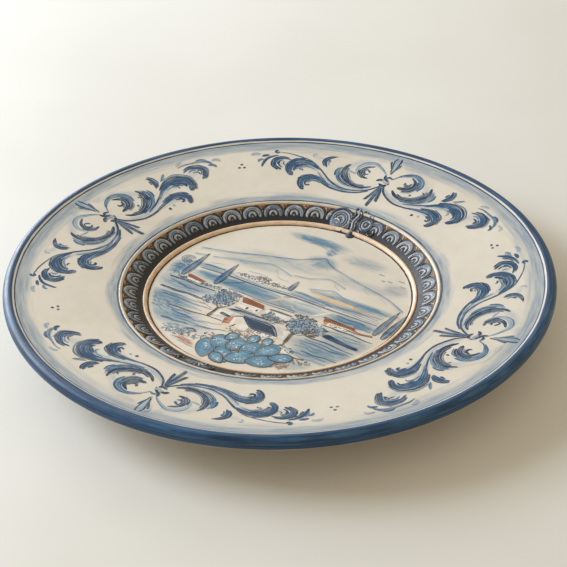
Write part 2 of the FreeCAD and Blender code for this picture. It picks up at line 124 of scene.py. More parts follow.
def front_z(r):
    """Height of the plate's upper surface at a radius, up to the lip's crest."""
    r = np.asarray(r, float)
    z = WELL_Z + WALL_SLOPE * ramp(r - WELL_R, FOOT_SOFT)
    z = z - (WALL_SLOPE - RIM_SLOPE) * ramp(r - RIM_INNER_R, HEAD_SOFT)
    start = WELL_Z + WALL_SLOPE * (RIM_INNER_R - WELL_R) + RIM_SLOPE * (LIP_TURN_R - RIM_INNER_R)
    span = LIP_CENTRE_R - LIP_TURN_R
    t = np.clip((r - LIP_TURN_R) / span, 0, 1)
    rise = (2 * t**3 - 3 * t**2 + 1) * start + (t**3 - 2 * t**2 + t) * RIM_SLOPE * span
    rise = rise + (3 * t**2 - 2 * t**3) * LIP_TOP_Z
    return np.where(r > LIP_TURN_R, rise, z)


def sway(x, y):
    """Slight unevenness of a hand-thrown plate."""
    broad = 0.10 * np.sin(x / 33 + 1.3) * np.cos(y / 39 - 0.4) + 0.05 * np.sin((x - 0.6 * y) / 21)
    return broad * smoothstep(20, 60, np.hypot(x, y))


def surface(x, y, lift=0.0):
    """Points on the plate's upper surface, raised by lift."""
    x = np.asarray(x, float)
    y = np.asarray(y, float)
    return np.stack([x, y, front_z(np.hypot(x, y)) + sway(x, y) + lift], axis=-1)


# ---- mesh makers ----
def make_object(name, vertices, faces, material, attributes=None, smooth=True):
    mesh = bpy.data.meshes.new(name)
    mesh.from_pydata((np.asarray(vertices) * MM).tolist(), [], faces)
    for key, (kind, values) in (attributes or {}).items():
        layer = mesh.attributes.new(key, kind, "POINT")
        field = "color" if kind == "FLOAT_COLOR" else "vector"
        layer.data.foreach_set(field, np.asarray(values, np.float32).ravel())
    mesh.materials.append(material)
    mesh.update()
    mesh.polygons.foreach_set("use_smooth", [smooth] * len(mesh.polygons))
    piece = bpy.data.objects.new(name, mesh)
    bpy.context.collection.objects.link(piece)
    return piece


def place(piece, slot, *nodes):
    """Every piece rides on the plate's one body, and stands for the named CAD nodes."""
    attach(piece, "root")
    if nodes:
        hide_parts(*nodes)
    return piece


def lathe(name, section, material, uneven=1.0):
    """Closed ring turned from a closed (r, z) section; uneven is how much it follows the plate's sway."""
    section = np.asarray(section, float)
    angles = np.arange(ROUND) * TURN / ROUND
    r = section[:, 0][:, None]
    x = r * np.cos(angles)
    y = r * np.sin(angles)
    z = section[:, 1][:, None] + sway(x, y) * uneven
    vertices = np.stack([x, y, z], axis=-1).reshape(-1, 3)
    rows = len(section)
    faces = []
    for i in range(rows):
        j = (i + 1) % rows
        if section[i, 0] < TINY and section[j, 0] < TINY:
            continue
        for k in range(ROUND):
            m = (k + 1) % ROUND
            faces.append((i * ROUND + k, i * ROUND + m, j * ROUND + m, j * ROUND + k))
    piece = make_object(name, vertices, faces, material)
    settle(piece, merge=MERGE)
    return piece


def settle(piece, merge=0.0):
    """Joins points nearer than merge, turns every face outwards and keeps real edges crisp."""
    work = bmesh.new()
    work.from_mesh(piece.data)
    if merge:
        bmesh.ops.remove_doubles(work, verts=work.verts, dist=merge)
    bmesh.ops.recalc_face_normals(work, faces=work.faces)
    work.to_mesh(piece.data)
    work.free()
    piece.data.set_sharp_from_angle(angle=math.radians(SHARP_ANGLE))


class Paint:
    """Collects brush strokes and dabs that lie on the plate's surface as thin closed skins."""

    ACROSS = np.array([-1.0, -0.8, -0.42, 0.0, 0.42, 0.8, 1.0])
    RINGS = (1.0, 0.82, 0.55, 0.28)
    FLOOR_LIFT = 0.012
    BASE = -0.03             # how far each stroke reaches below the surface
    LAYER = 0.05             # each layer of the picture lies this much above the last
    STEP = 0.9               # length of a piece of a stroke

    def __init__(self, layer=0, thick=0.001, scale=1.0, sheet=0.0012, pivot=(0.0, 0.0)):
        self.scale = scale
        self.pivot = np.array(pivot)
        self.sheet = sheet   # each stroke lies this much above the one before it
        self.lift = self.FLOOR_LIFT + layer * self.LAYER
        self.thick = thick
        self.vertices = []
        self.faces = []
        self.attributes = {"stroke": [], "paint": [], "ink": []}
        self.count = 0
        self.strokes = 0
        self.turned(0.0)

    def turned(self, degrees):
        """Draws what follows with its +Y at this angle, clockwise from the top of the plate."""
        angle = math.radians(degrees)
        self.turn = np.array([[math.cos(angle), -math.sin(angle)], [math.sin(angle), math.cos(angle)]])

    def on_plate(self, points):
        """Scales a drawing about the pivot and turns it to its place."""
        return (self.pivot + (points - self.pivot) * self.scale) @ self.turn

    def height(self):
        """Lift of the next stroke, just above the one before it."""
        self.strokes += 1
        return self.lift + self.sheet * self.strokes

    def add(self, points, faces, along, side, offset, density, feather, ink):
        start = self.count
        size = len(points)
        seed = np.full(size, self.strokes * 0.37)
        self.vertices.append(points)
        self.faces += [tuple(start + i for i in face) for face in faces]
        self.attributes["stroke"].append(np.column_stack([along, side, seed]))
        self.attributes["paint"].append(np.column_stack(
            [np.full(size, density), offset, np.full(size, feather)]))
        self.attributes["ink"].append(np.tile(np.append(ink, 1.0), (size, 1)))
        self.count += size

    def line(self, ink, points, density=1.0, feather=0.14, thick=None):
        """A brush stroke along (x, y, width) points, with round ends."""
        path = smooth_path(np.asarray(points, float), self.STEP)
        middle = self.on_plate(path[:, :2])
        width = path[:, 2] * self.scale
        along = np.append(0, np.cumsum(np.linalg.norm(np.diff(middle, axis=0), axis=1)))
        half = width / 2 * end_rounding(along, width[0] / 2, width[-1] / 2)
        ahead = np.gradient(middle, axis=0)
        ahead /= np.maximum(np.linalg.norm(ahead, axis=1), 1e-9)[:, None]
        side = np.stack([-ahead[:, 1], ahead[:, 0]], axis=1)
        flat = middle[:, None, :] + side[:, None, :] * (half[:, None] * self.ACROSS)[:, :, None]
        dome = np.sqrt(1 - self.ACROSS**2) * np.minimum(1, half / (half.max() * 0.8))[:, None]
        lift = self.height() + (self.thick if thick is None else thick) * dome
        top = surface(flat[..., 0], flat[..., 1], lift)
        under = surface(middle[:, 0], middle[:, 1], self.BASE)[:, None, :]
        grid = np.concatenate([top, under], axis=1)
        rows, columns = grid.shape[:2]
        faces = []
        for i in range(rows - 1):
            for k in range(columns):
                m = (k + 1) % columns
                faces.append((i * columns + k, (i + 1) * columns + k, (i + 1) * columns + m,
                              i * columns + m))
        faces.append(tuple(range(columns)))
        faces.append(tuple((rows - 1) * columns + k for k in reversed(range(columns))))
        offset = np.tile(np.append(self.ACROSS, 1.0), (rows, 1))
        self.add(grid.reshape(-1, 3), faces, np.repeat(along, columns), (half[:, None] * offset).ravel(),
                 offset.ravel(), density, feather, ink)

    def blob(self, ink, outline, density=1.0, feather=0.3, straight=False, thick=None):
        """A dab with a closed outline that is star-shaped round its middle."""
        outline = np.asarray(outline, float)
        ring = dense_polygon(outline) if straight else closed_path(outline)
        ring = self.on_plate(ring)
        centre = ring.mean(axis=0)
        lift = self.height()
        dome = self.thick if thick is None else thick
        rows = []
        for share in self.RINGS:
            flat = centre + (ring - centre) * share
            rows.append(surface(flat[:, 0], flat[:, 1], lift + dome * math.sqrt(1 - share**2)))
        middle = surface(centre[0], centre[1], lift + dome)[None]
        under = surface(centre[0], centre[1], self.BASE)[None]
        grid = np.concatenate(rows + [middle, under])
        n = len(ring)
        faces = []
        for i in range(len(self.RINGS) - 1):
            for k in range(n):
                m = (k + 1) % n
                faces.append((i * n + k, i * n + m, (i + 1) * n + m, (i + 1) * n + k))
        last = (len(self.RINGS) - 1) * n
        top = len(self.RINGS) * n
        for k in range(n):
            m = (k + 1) % n
            faces.append((last + k, last + m, top))
            faces.append((m, k, top + 1))
        offset = np.append(np.repeat(self.RINGS, n), [0.0, 1.0])
        flat = grid[:, :2] - centre
        self.add(grid, faces, flat[:, 0], flat[:, 1], offset, density, feather, ink)

    def dot(self, ink, x, y, size, density=1.0, feather=0.3, thick=None, squash=1.0):
        angles = np.arange(6) * TURN / 6
        outline = np.column_stack([x + size / 2 * np.cos(angles), y + size * squash / 2 * np.sin(angles)])
        self.blob(ink, outline, density, feather, thick=thick)

    def build(self, name, material):
        kinds = {"stroke": "FLOAT_VECTOR", "paint": "FLOAT_VECTOR", "ink": "FLOAT_COLOR"}
        attributes = {key: (kinds[key], np.concatenate(rows)) for key, rows in self.attributes.items()}
        piece = make_object(name, np.concatenate(self.vertices), self.faces, material, attributes)
        settle(piece)
        return piece


THINNEST = 0.15          # no stroke is thinner than this


def catmull_rom(a, b, c, d, t):
    """Points between b and c of a curve that passes a, b, c and d."""
    return 0.5 * (
        2 * b + (c - a) * t + (2 * a - 5 * b + 4 * c - d) * t**2
        + (3 * b - a - 3 * c + d) * t**3)


def smooth_path(points, step):
    """Catmull-Rom curve through (x, y, width) points, sampled about every step."""
    if len(points) == 2:
        middle = (points[0] + points[1]) / 2
        points = np.array([points[0], middle, points[1]])
    padded = np.vstack([2 * points[0] - points[1], points, 2 * points[-1] - points[-2]])
    rows = []
    for i in range(1, len(padded) - 2):
        a, b, c, d = padded[i - 1:i + 3]
        pieces = max(3, int(np.linalg.norm(c[:2] - b[:2]) / step))
        t = (np.arange(pieces) / pieces)[:, None]
        rows.append(catmull_rom(a, b, c, d, t))
    rows.append(points[-1][None])
    path = np.concatenate(rows)
    path[:, 2] = np.maximum(path[:, 2], THINNEST)
    return path


def closed_path(points, pieces=6):
    """Closed Catmull-Rom curve through (x, y) points."""
    rows = []
    n = len(points)
    t = (np.arange(pieces) / pieces)[:, None]
    for i in range(n):
        a, b, c, d = (points[(i + k - 1) % n] for k in range(4))
        rows.append(catmull_rom(a, b, c, d, t))
    return np.concatenate(rows)


def dense_polygon(points, step=1.5):
    """Closed outline with straight sides, sampled about every step."""
    rows = []
    for a, b in zip(points, np.roll(points, -1, axis=0)):
        pieces = max(2, int(np.linalg.norm(b - a) / step))
        t = (np.arange(pieces) / pieces)[:, None]
        rows.append(a + (b - a) * t)
    return np.concatenate(rows)


def end_rounding(along, start, end):
    """Narrows a stroke to a round tip at each end."""
    total = along[-1]
    start = min(max(start, THINNEST), total / 2)
    end = min(max(end, THINNEST), total / 2)
    head = np.clip((start - along) / start, 0, 1)
    tail = np.clip((end - (total - along)) / end, 0, 1)
    return np.maximum(np.sqrt(1 - head**2) * np.sqrt(1 - tail**2), 0.06)


# ---- materials ----
def linear(red, green, blue):
    """Linear colour from 0-255 display values."""
    values = np.array([red, green, blue]) / 255
    return tuple(np.where(values <= 0.04045, values / 12.92, ((values + 0.055) / 1.055) ** 2.4).tolist())


CREAM = linear(223, 215, 203)
CREAM_DEEP = linear(211, 202, 188)
HALO = linear(122, 143, 162)
DEEP_COBALT = linear(10, 58, 94)
COBALT = linear(30, 86, 126)
MID_BLUE = linear(66, 116, 150)
PALE_BLUE = linear(112, 148, 172)
GREY_BLUE = linear(132, 146, 158)
MANGANESE = linear(34, 31, 33)
UMBER = linear(92, 68, 52)
OCHRE = linear(164, 120, 74)
RUST = linear(176, 92, 44)
SAND = linear(222, 190, 150)
TURQUOISE = linear(106, 156, 182)
DEEP_TURQUOISE = linear(70, 128, 168)
WHITE_SLIP = linear(232, 226, 214)
WASH_BLUE = linear(104, 136, 156)
WASH_GREEN = linear(176, 186, 184)
UMBER_DARK = linear(58, 44, 40)
STEEL_BLUE = linear(104, 122, 142)
STONE_BLUE = linear(148, 156, 164)
# pale blue-grey for the painted highlights on the raised ridges of the two shells
PALE_STONE_HIGHLIGHT = linear(156, 164, 174)
SLATE = linear(60, 68, 84)
ROOF_BLUE = linear(50, 76, 104)
ROOF_SEAM = linear(42, 64, 88)
CROWN_BLUE = linear(118, 148, 170)
INK_DEPTH = linear(16, 34, 58)


class Graph:
    """Short forms for building one node tree."""

    def __init__(self, tree):
        self.tree = tree

    def node(self, kind, **settings):
        made = self.tree.nodes.new(kind)
        for key, value in settings.items():
            setattr(made, key, value)
        return made

    def link(self, value, socket):
        if isinstance(value, (int, float)):
            socket.default_value = value
        elif isinstance(value, tuple):
            socket.default_value = value if len(value) == len(socket.default_value) else (*value, 1.0)
        else:
            self.tree.links.new(value, socket)

    def math(self, operation, a, b=0.0, c=0.0, clamp=False):
        made = self.node("ShaderNodeMath", operation=operation, use_clamp=clamp)
        for value, socket in zip((a, b, c), made.inputs):
            self.link(value, socket)
        return made.outputs[0]

    def times(self, a, b, clamp=False):
        return self.math("MULTIPLY", a, b, clamp=clamp)

    def plus(self, a, b):
        return self.math("ADD", a, b)

    def minus(self, a, b):
        return self.math("SUBTRACT", a, b)

    def over(self, a, b):
        return self.math("DIVIDE", a, b)

    def times_plus(self, a, b, c):
        return self.math("MULTIPLY_ADD", a, b, c)

    def vector(self, operation, a, b=(0.0, 0.0, 0.0), scale=None):
        made = self.node("ShaderNodeVectorMath", operation=operation)
        self.link(a, made.inputs[0])
        if operation not in ("LENGTH", "NORMALIZE", "SCALE"):
            self.link(b, made.inputs[1])
        if scale is not None:
            self.link(scale, made.inputs["Scale"])
        return made.outputs["Value" if operation in ("LENGTH", "DOT_PRODUCT") else "Vector"]

    def split(self, vector):
        made = self.node("ShaderNodeSeparateXYZ")
        self.link(vector, made.inputs[0])
        return made.outputs[0], made.outputs[1], made.outputs[2]

    def join(self, x, y, z):
        made = self.node("ShaderNodeCombineXYZ")
        for value, socket in zip((x, y, z), made.inputs):
            self.link(value, socket)
        return made.outputs[0]

    def step(self, value, low, high, start=0.0, end=1.0):
        """Smooth step of a value from low to high."""
        made = self.node("ShaderNodeMapRange", interpolation_type="SMOOTHSTEP")
        for number, socket in zip((value, low, high, start, end), made.inputs):
            self.link(number, socket)
        return made.outputs[0]

    def mix(self, factor, a, b):
        made = self.node("ShaderNodeMix", data_type="RGBA", clamp_factor=True)
        self.link(factor, made.inputs["Factor"])
        self.link(a, made.inputs[6])
        self.link(b, made.inputs[7])
        return made.outputs[2]

    def noise(self, vector, scale, detail=2.0, rough=0.5, spread=(0.3, 0.7)):
        """Noise stretched so that it fills 0 to 1."""
        made = self.node("ShaderNodeTexNoise")
        self.link(vector, made.inputs["Vector"])
        self.link(scale, made.inputs["Scale"])
        self.link(detail, made.inputs["Detail"])
        self.link(rough, made.inputs["Roughness"])
        return self.step(made.outputs["Fac"], *spread)

    def ramp(self, factor, stops):
        made = self.node("ShaderNodeValToRGB")
        elements = made.color_ramp.elements
        while len(elements) < len(stops):
            elements.new(0.5)
        for element, (position, colour) in zip(elements, stops):
            element.position = position
            element.color = (*colour, 1.0)
        self.link(factor, made.inputs[0])
        return made.outputs[0]

    def attribute(self, name):
        return self.node("ShaderNodeAttribute", attribute_name=name)

    def place(self):
        """Position on the plate in millimetres."""
        return self.vector("SCALE", self.node("ShaderNodeTexCoord").outputs["Object"], scale=1 / MM)

    def around(self, position, turns, outward):
        """Coordinates for streaks that run round the plate: no seam, long round it and fine across it."""
        x, y, z = self.split(position)
        flat = self.join(x, y, 0.0)
        radius = self.vector("LENGTH", flat)
        heading = self.vector("SCALE", self.vector("NORMALIZE", flat), scale=turns)
        hx, hy, _ = self.split(heading)
        return self.join(hx, hy, self.math("MULTIPLY", radius, outward)), radius, z


# Soft washes behind the picture: x, y, half width, half height, strength and colour of each
WASHES = [
    (-9, 60.5, 22, 5.0, 0.75, WASH_BLUE), (3.2, 54, 4, 6, 0.55, WASH_BLUE),
    (27, 53, 17, 7, 0.30, WASH_BLUE), (57, 37, 10, 6, 0.30, WASH_BLUE), (4, 41, 11, 8, 0.50, WASH_BLUE),
    (-16, 30, 30, 7, 0.26, WASH_BLUE), (36, 31, 28, 6, 0.22, WASH_BLUE), (-30, 20, 26, 6, 0.24, WASH_BLUE),
    (44, 13, 32, 3.6, 0.65, WASH_BLUE), (30, 6, 36, 3.0, 0.50, WASH_BLUE),
    (-50, 4, 20, 3.5, 0.50, WASH_BLUE), (-26, -4.5, 36, 6.0, 0.85, WASH_BLUE),
    (20, -4.5, 15, 5.5, 0.50, WASH_GREEN), (50, -4, 20, 5.0, 0.65, WASH_BLUE),
    (-67, -5, 8, 10, 0.60, WASH_BLUE), (-54, -22, 20, 7, 0.35, WASH_BLUE),
    (-54, -35, 22, 9, 0.55, WASH_BLUE), (50, -35, 26, 9, 0.55, WASH_BLUE),
    (47, -43, 18, 6, 0.45, WASH_BLUE), (-34, -52, 24, 8, 0.35, WASH_BLUE), (34, 9.5, 24, 2.4, 0.60, SAND),
    (-4, -44, 16, 3.0, 0.30, SAND), (-52, -17, 24, 9, 0.50, WASH_BLUE), (-46, -46, 24, 9, 0.50, WASH_BLUE),
    (56, -22, 18, 9, 0.45, WASH_BLUE), (8, -8, 30, 5, 0.45, WASH_BLUE), (40, -55, 20, 7, 0.30, WASH_BLUE),
]


def ground_group():
    """The tin glaze's colour at a point: cream, two soft blue-grey halos on the rim, and the
    picture's watery washes on the floor."""
    tree = bpy.data.node_groups.new("tin_glaze_ground", "ShaderNodeTree")
    tree.interface.new_socket("Paint", in_out="INPUT", socket_type="NodeSocketFloat")
    tree.interface.new_socket("Color", in_out="OUTPUT", socket_type="NodeSocketColor")
    g = Graph(tree)
    inside = g.node("NodeGroupInput")
    outside = g.node("NodeGroupOutput")
    position = g.place()
    streaks, radius, _ = g.around(position, 9.0, 0.75)
    cloud = g.noise(position, 0.022, 3.0)
    mottle = g.noise(position, 0.16, 4.0)
    colour = g.mix(g.times_plus(cloud, 0.7, g.times(mottle, 0.3)), CREAM, CREAM_DEEP)

    x, y, _ = g.split(position)
    bend = g.times(g.minus(g.noise(position, 0.05, 2.0), 0.5), 6.0)
    level = g.plus(y, bend)
    water = g.noise(g.join(g.times(x, 0.045), g.times(level, 0.5), 0.0), 1.0, 3.0, 0.6)
    on_floor = g.step(radius, WELL_R - 4, WELL_R - 1, 1.0, 0.0)
    strength = g.times(g.times_plus(water, 1.0, 0.9), on_floor)
    strength = g.times(strength, inside.outputs["Paint"])
    for left, low, wide, high, share, wash in WASHES:
        away = g.vector("LENGTH", g.join(
            g.over(g.minus(x, left), wide), g.over(g.minus(y, low), high), 0.0))
        colour = g.mix(g.times(strength, g.step(away, 0.35, 1.15, share, 0.0)), colour, wash)

    streak = g.noise(streaks, 1.0, 3.0, 0.6)
    wobble = g.times(g.minus(g.noise(streaks, 0.35, 2.0), 0.5), 4.0)
    wandering = g.plus(radius, wobble)
    outer = g.step(wandering, PINSTRIPE_R - 11.5, PINSTRIPE_R - 3.0)
    outer = g.times(outer, g.step(radius, PINSTRIPE_R - 0.2, PINSTRIPE_R + 0.5, 1.0, 0.0))
    inner = g.step(wandering, RIM_INNER_R + 1.8, RIM_INNER_R + 9.0, 1.0, 0.0)
    inner = g.times(inner, g.step(radius, RIM_INNER_R - 0.5, RIM_INNER_R + 0.1))
    halo = g.times(g.math("MAXIMUM", outer, inner), g.times_plus(streak, 0.38, 0.50))
    halo = g.times(halo, inside.outputs["Paint"])
    g.link(g.mix(halo, colour, HALO), outside.inputs["Color"])
    return tree


GROUND = ground_group()


def ground(g, painted=1.0):
    """The glaze's colour, with its halos and washes where painted is 1."""
    made = g.node("ShaderNodeGroup", node_tree=GROUND)
    made.inputs["Paint"].default_value = painted
    return made.outputs["Color"]


def new_material(name):
    """A material, the short forms for its nodes, and its shader."""
    material = bpy.data.materials.new(name)
    material.use_nodes = True
    g = Graph(material.node_tree)
    shader = material.node_tree.nodes["Principled BSDF"]
    return material, g, shader


GLAZE_ROUGH = 0.34
MOULDING_ROUGH = 0.36
BAND_ROUGH = 0.4
RELIEF_ROUGH = 0.42


def glaze_finish(g, shader, position, colour, rough=GLAZE_ROUGH, bump=1.0):
    """Glossy tin glaze: orange-peel unevenness, pinholes and a clear coat."""
    g.link(colour, shader.inputs["Base Color"])
    shader.inputs["IOR"].default_value = 1.5
    shader.inputs["Specular IOR Level"].default_value = 0.34
    shader.inputs["Coat Weight"].default_value = 0.06
    shader.inputs["Coat Roughness"].default_value = 0.2
    shader.inputs["Coat IOR"].default_value = 1.5
    patchy = g.noise(position, 0.09, 3.0)
    g.link(g.times_plus(patchy, 0.08, rough), shader.inputs["Roughness"])
    slow = g.noise(position, 0.11, 2.0)
    fine = g.noise(position, 0.75, 2.0)
    pin = g.step(g.noise(position, 1.3, 1.0), 0.0, 0.12, 0.0, 1.0)
    height = g.plus(g.times(slow, 1.0), g.times(fine, 0.16))
    height = g.plus(height, g.times(pin, 0.1))
    bumped = g.node("ShaderNodeBump")
    bumped.inputs["Strength"].default_value = 0.6
    bumped.inputs["Distance"].default_value = 0.06 * MM * bump
    g.link(height, bumped.inputs["Height"])
    g.link(bumped.outputs["Normal"], shader.inputs["Normal"])


def glaze_material(name, painted):
    material, g, shader = new_material(name)
    glaze_finish(g, shader, g.place(), ground(g, painted))
    return material


def brushed_material(name):
    """Pigment brushed on the glaze. Its strength falls and rises in hairlines along each stroke,
    pools at the edges, and fades into the bare glaze at the rim of the stroke."""
    material, g, shader = new_material(name)
    position = g.place()
    density, offset, feather = g.split(g.attribute("paint").outputs["Vector"])
    along, across, seed = g.split(g.attribute("stroke").outputs["Vector"])
    ink = g.attribute("ink").outputs["Color"]
    hair = g.join(
        g.times(along, 0.06), g.times(across, 1.35), seed)
    streak = g.noise(hair, 1.0, 2.5, 0.6)
    pool = g.noise(position, 0.22, 2.0)
    edge = g.math("ABSOLUTE", offset)
    cover = g.step(edge, g.minus(1.0, feather), 1.0, 1.0, 0.0)
    strength = g.times_plus(streak, 0.52, 0.68)
    strength = g.times(strength, g.times_plus(pool, 0.3, 0.85))
    strength = g.plus(strength, g.step(edge, 0.45, 0.85, 0.0, 0.2))
    strength = g.times(strength, density)
    amount = g.times(strength, cover, clamp=True)
    deep = g.mix(g.step(strength, 0.85, 1.35), ink, g.mix(0.35, ink, INK_DEPTH))
    glaze_finish(g, shader, position, g.mix(amount, ground(g), deep))
    return material


def band_material():
    """The lip's broad cobalt band, brushed round while the plate turns."""
    material, g, shader = new_material("lip_cobalt")
    position = g.place()
    lines, radius, z = g.around(position, 5.0, 1.5)
    x, y, w = g.split(lines)
    lines = g.join(x, y, g.times_plus(z, 1.9, w))
    streak = g.noise(lines, 1.0, 4.0, 0.65)
    slow = g.noise(position, 0.02, 2.0)
    height = g.step(z, BAND_LOWER_Z, LIP_TOP_Z)
    tone = g.plus(g.times(streak, 0.62), g.times(slow, 0.16))
    tone = g.plus(tone, g.times(height, 0.2))
    colour = g.ramp(tone, [
        (0.0, linear(18, 34, 52)), (0.3, linear(24, 50, 80)), (0.6, linear(36, 72, 108)),
        (1.0, linear(70, 110, 146))])
    worn = g.times(g.step(z, BAND_LOWER_Z + 0.1, BAND_LOWER_Z + 0.9, 1.0, 0.0), 0.8)
    crest = g.step(g.plus(radius, g.times(streak, -0.5)), BAND_INNER_R - 0.3, BAND_INNER_R + 0.15, 1.0, 0.0)
    crest = g.times(crest, g.step(z, LIP_CENTRE_Z, LIP_CENTRE_Z + 1.0))
    glaze_finish(g, shader, position, g.mix(g.math("MAXIMUM", worn, crest), colour, ground(g, 0.0)),
                 BAND_ROUGH)
    return material


def clay_material():
    """Fired terracotta with pale grains."""
    material, g, shader = new_material("bare_clay")
    position = g.place()
    body = g.mix(g.noise(position, 0.05, 3.0), linear(186, 126, 92), linear(168, 104, 74))
    grains = g.step(g.noise(position, 2.2, 2.0), 0.0, 0.2, 0.75, 0.0)
    colour = g.mix(grains, body, linear(214, 168, 132))
    g.link(colour, shader.inputs["Base Color"])
    g.link(g.times_plus(g.noise(position, 0.8), 0.12, 0.78), shader.inputs["Roughness"])
    bumped = g.node("ShaderNodeBump")
    bumped.inputs["Strength"].default_value = 0.5
    bumped.inputs["Distance"].default_value = 0.15 * MM
    g.link(g.noise(position, 1.6, 4.0), bumped.inputs["Height"])
    g.link(bumped.outputs["Normal"], shader.inputs["Normal"])
    return material


def frieze_ground_material():
    """Dark manganese at the wall's foot that turns to ochre and umber at its head."""
    material, g, shader = new_material("frieze_ground")
    position = g.place()
    lines, radius, _ = g.around(position, 30.0, 0.7)
    streak = g.noise(lines, 1.0, 3.0)
    where = g.plus(radius, g.times(g.minus(streak, 0.5), 1.6))
    share = g.step(where, FRIEZE_INNER_R, FRIEZE_OUTER_R)
    colour = g.ramp(share, [(0.0, linear(36, 38, 44)), (0.3, MANGANESE), (0.84, linear(40, 36, 37)),
                            (0.92, UMBER_DARK), (0.97, UMBER), (1.0, UMBER_DARK)])
    glaze_finish(g, shader, position, colour, RELIEF_ROUGH, 1.5)
    return material


def modelled_material(name, streak_and_shade_colour):
    """Enamel on low relief, with painted shade: each form turns dark along its edge, so that its crest
    reads pale, and random streaks darken it in places.
    """
    material, g, shader = new_material(name)
    position = g.place()
    density, offset, _ = g.split(g.attribute("paint").outputs["Vector"])
    along, across, seed = g.split(g.attribute("stroke").outputs["Vector"])
    ink = g.attribute("ink").outputs["Color"]
    hair = g.join(g.times(along, 0.16), g.times(across, 1.6), seed)
    streak = g.noise(hair, 1.0, 3.0, 0.6)
    spot = g.noise(position, 0.55, 3.0)
    edge = g.plus(g.math("ABSOLUTE", offset), g.times(g.minus(spot, 0.5), 0.3))
    # painted shade: the colour darkens towards the edge of each raised form
    painted_edge_shade = g.step(edge, 0.5, 0.98)
    worn = g.times(g.step(streak, 0.35, 0.9), 0.42)
    colour = g.mix(worn, ink, g.mix(0.5, ink, streak_and_shade_colour))
    colour = g.mix(g.times(g.step(spot, 0.6, 1.0), 0.35), colour, WHITE_SLIP)
    colour = g.mix(g.times(painted_edge_shade, density), colour, streak_and_shade_colour)
    glaze_finish(g, shader, position, colour, RELIEF_ROUGH, 1.3)
    return material


def turned_line_material(name, ink, middle, half, strength):
    """A line drawn with a loaded brush while the plate turns."""
    material, g, shader = new_material(name)
    position = g.place()
    lines, radius, _ = g.around(position, 14.0, 2.2)
    streak = g.noise(lines, 1.0, 3.0)
    slow = g.noise(position, 0.03, 2.0)
    away = g.math("ABSOLUTE", g.over(g.minus(radius, middle), half))
    cover = g.step(g.plus(away, g.times(streak, 0.3)), 0.7, 1.15, 1.0, 0.0)
    amount = g.times_plus(slow, 0.35, strength)
    amount = g.times(g.times(amount, cover), g.times_plus(streak, -0.35, 1.15), clamp=True)
    glaze_finish(g, shader, position, g.mix(amount, ground(g), ink))
    return material


def moulding_material(name, pale, tint):
    """A turned moulding with a thin streaked wash."""
    material, g, shader = new_material(name)
    position = g.place()
    lines, _, _ = g.around(position, 16.0, 0.9)
    streak = g.noise(lines, 1.0, 3.0)
    colour = g.mix(g.times(streak, 0.6), pale, tint)
    glaze_finish(g, shader, position, colour, MOULDING_ROUGH, 1.2)
    return material


FRONT_GLAZE = glaze_material("tin_glaze", 1.0)
BACK_GLAZE = glaze_material("tin_glaze_back", 0.0)
BRUSHED = brushed_material("brushed_enamel")
LIP_COBALT = band_material()
BARE_CLAY = clay_material()
FRIEZE_GROUND = frieze_ground_material()
CREAM_MOULDING = moulding_material("cream_moulding", linear(216, 206, 188), linear(190, 168, 138))
OCHRE_MOULDING = moulding_material("ochre_moulding", linear(238, 210, 180), linear(204, 166, 130))
# The second colour serves both the random dark streaks and the painted shade along each form's edge.
ARCH_ENAMEL = modelled_material("arch_enamel", UMBER_DARK)
SHELL_ENAMEL = modelled_material("shell_enamel", linear(30, 32, 42))
PINSTRIPE = turned_line_material("pinstripe", DEEP_COBALT, PINSTRIPE_R, 0.55, 0.9)
WELL_LINE = turned_line_material("well_line", DEEP_COBALT, RIM_INNER_R + 0.6, 0.62, 0.7)
FOOT_LINE = turned_line_material("foot_line", UMBER_DARK, WELL_R - 0.35, 0.62, 1.1)


# ---- the plate's body ----
def foot_and_clay():
    """The two CAD nodes that stay visible get the clay material."""
    for node in ("clay_body", "foot_ring"):
        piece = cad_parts[node]
        piece.data.materials.clear()
        piece.data.materials.append(BARE_CLAY)


def spaced(*stops):
    """Radii from runs of (start, end, step)."""
    runs = [np.arange(a, b, s) for a, b, s in stops]
    return np.concatenate(runs)


def front_coat():
    """Glaze on the floor, wall and rim. Its underside needs points near the wall's foot, or it
    would cut across the corner there and come out on top."""
    radii = np.append(spaced((0, 75.5, 3.5), (75.5, 80, 0.5), (80, 90, 2.0), (90, 95, 0.5), (95, 148, 3.0),
                             (148, BAND_INNER_R, 0.5)), BAND_INNER_R)
    under = spaced((0, 70, 12), (70, 80, 1.0), (80, 150, 10))[::-1]
    top = np.column_stack([radii, front_z(radii)])
    bottom = np.column_stack([under, front_z(under) - COAT])
    edge = [[BAND_INNER_R, float(front_z(BAND_INNER_R)) - COAT]]
    piece = lathe("front_glaze", np.concatenate([top, edge, bottom]), FRONT_GLAZE)
    place(piece, "tin_glaze", "glaze_front")


def lip_section(shrink=0.0):
    """Points over the rolled lip, from the band's inner edge to its lower edge."""
    radii = np.append(np.arange(BAND_INNER_R, LIP_CENTRE_R, 0.3), LIP_CENTRE_R)
    crest = np.column_stack([radii, front_z(radii) - shrink])
    lowest = math.asin((BAND_LOWER_Z - LIP_CENTRE_Z) / (LIP_CENTRE_Z - LIP_BOTTOM_Z))
    angles = np.linspace(math.pi / 2, lowest, 22)[1:]
    rise = np.where(np.sin(angles) > 0, LIP_TOP_Z - LIP_CENTRE_Z, LIP_CENTRE_Z - LIP_BOTTOM_Z) - shrink
    reach = LIP_R - LIP_CENTRE_R - shrink
    roll = np.column_stack([LIP_CENTRE_R + reach * np.cos(angles), LIP_CENTRE_Z + rise * np.sin(angles)])
    return np.concatenate([crest, roll])


def lip_band():
    """The cobalt coat over the rolled lip."""
    outer = lip_section()
    inner = lip_section(COAT)[::-1]
    place(lathe("lip_band", np.concatenate([outer, inner]), LIP_COBALT), "cobalt", "lip_band")


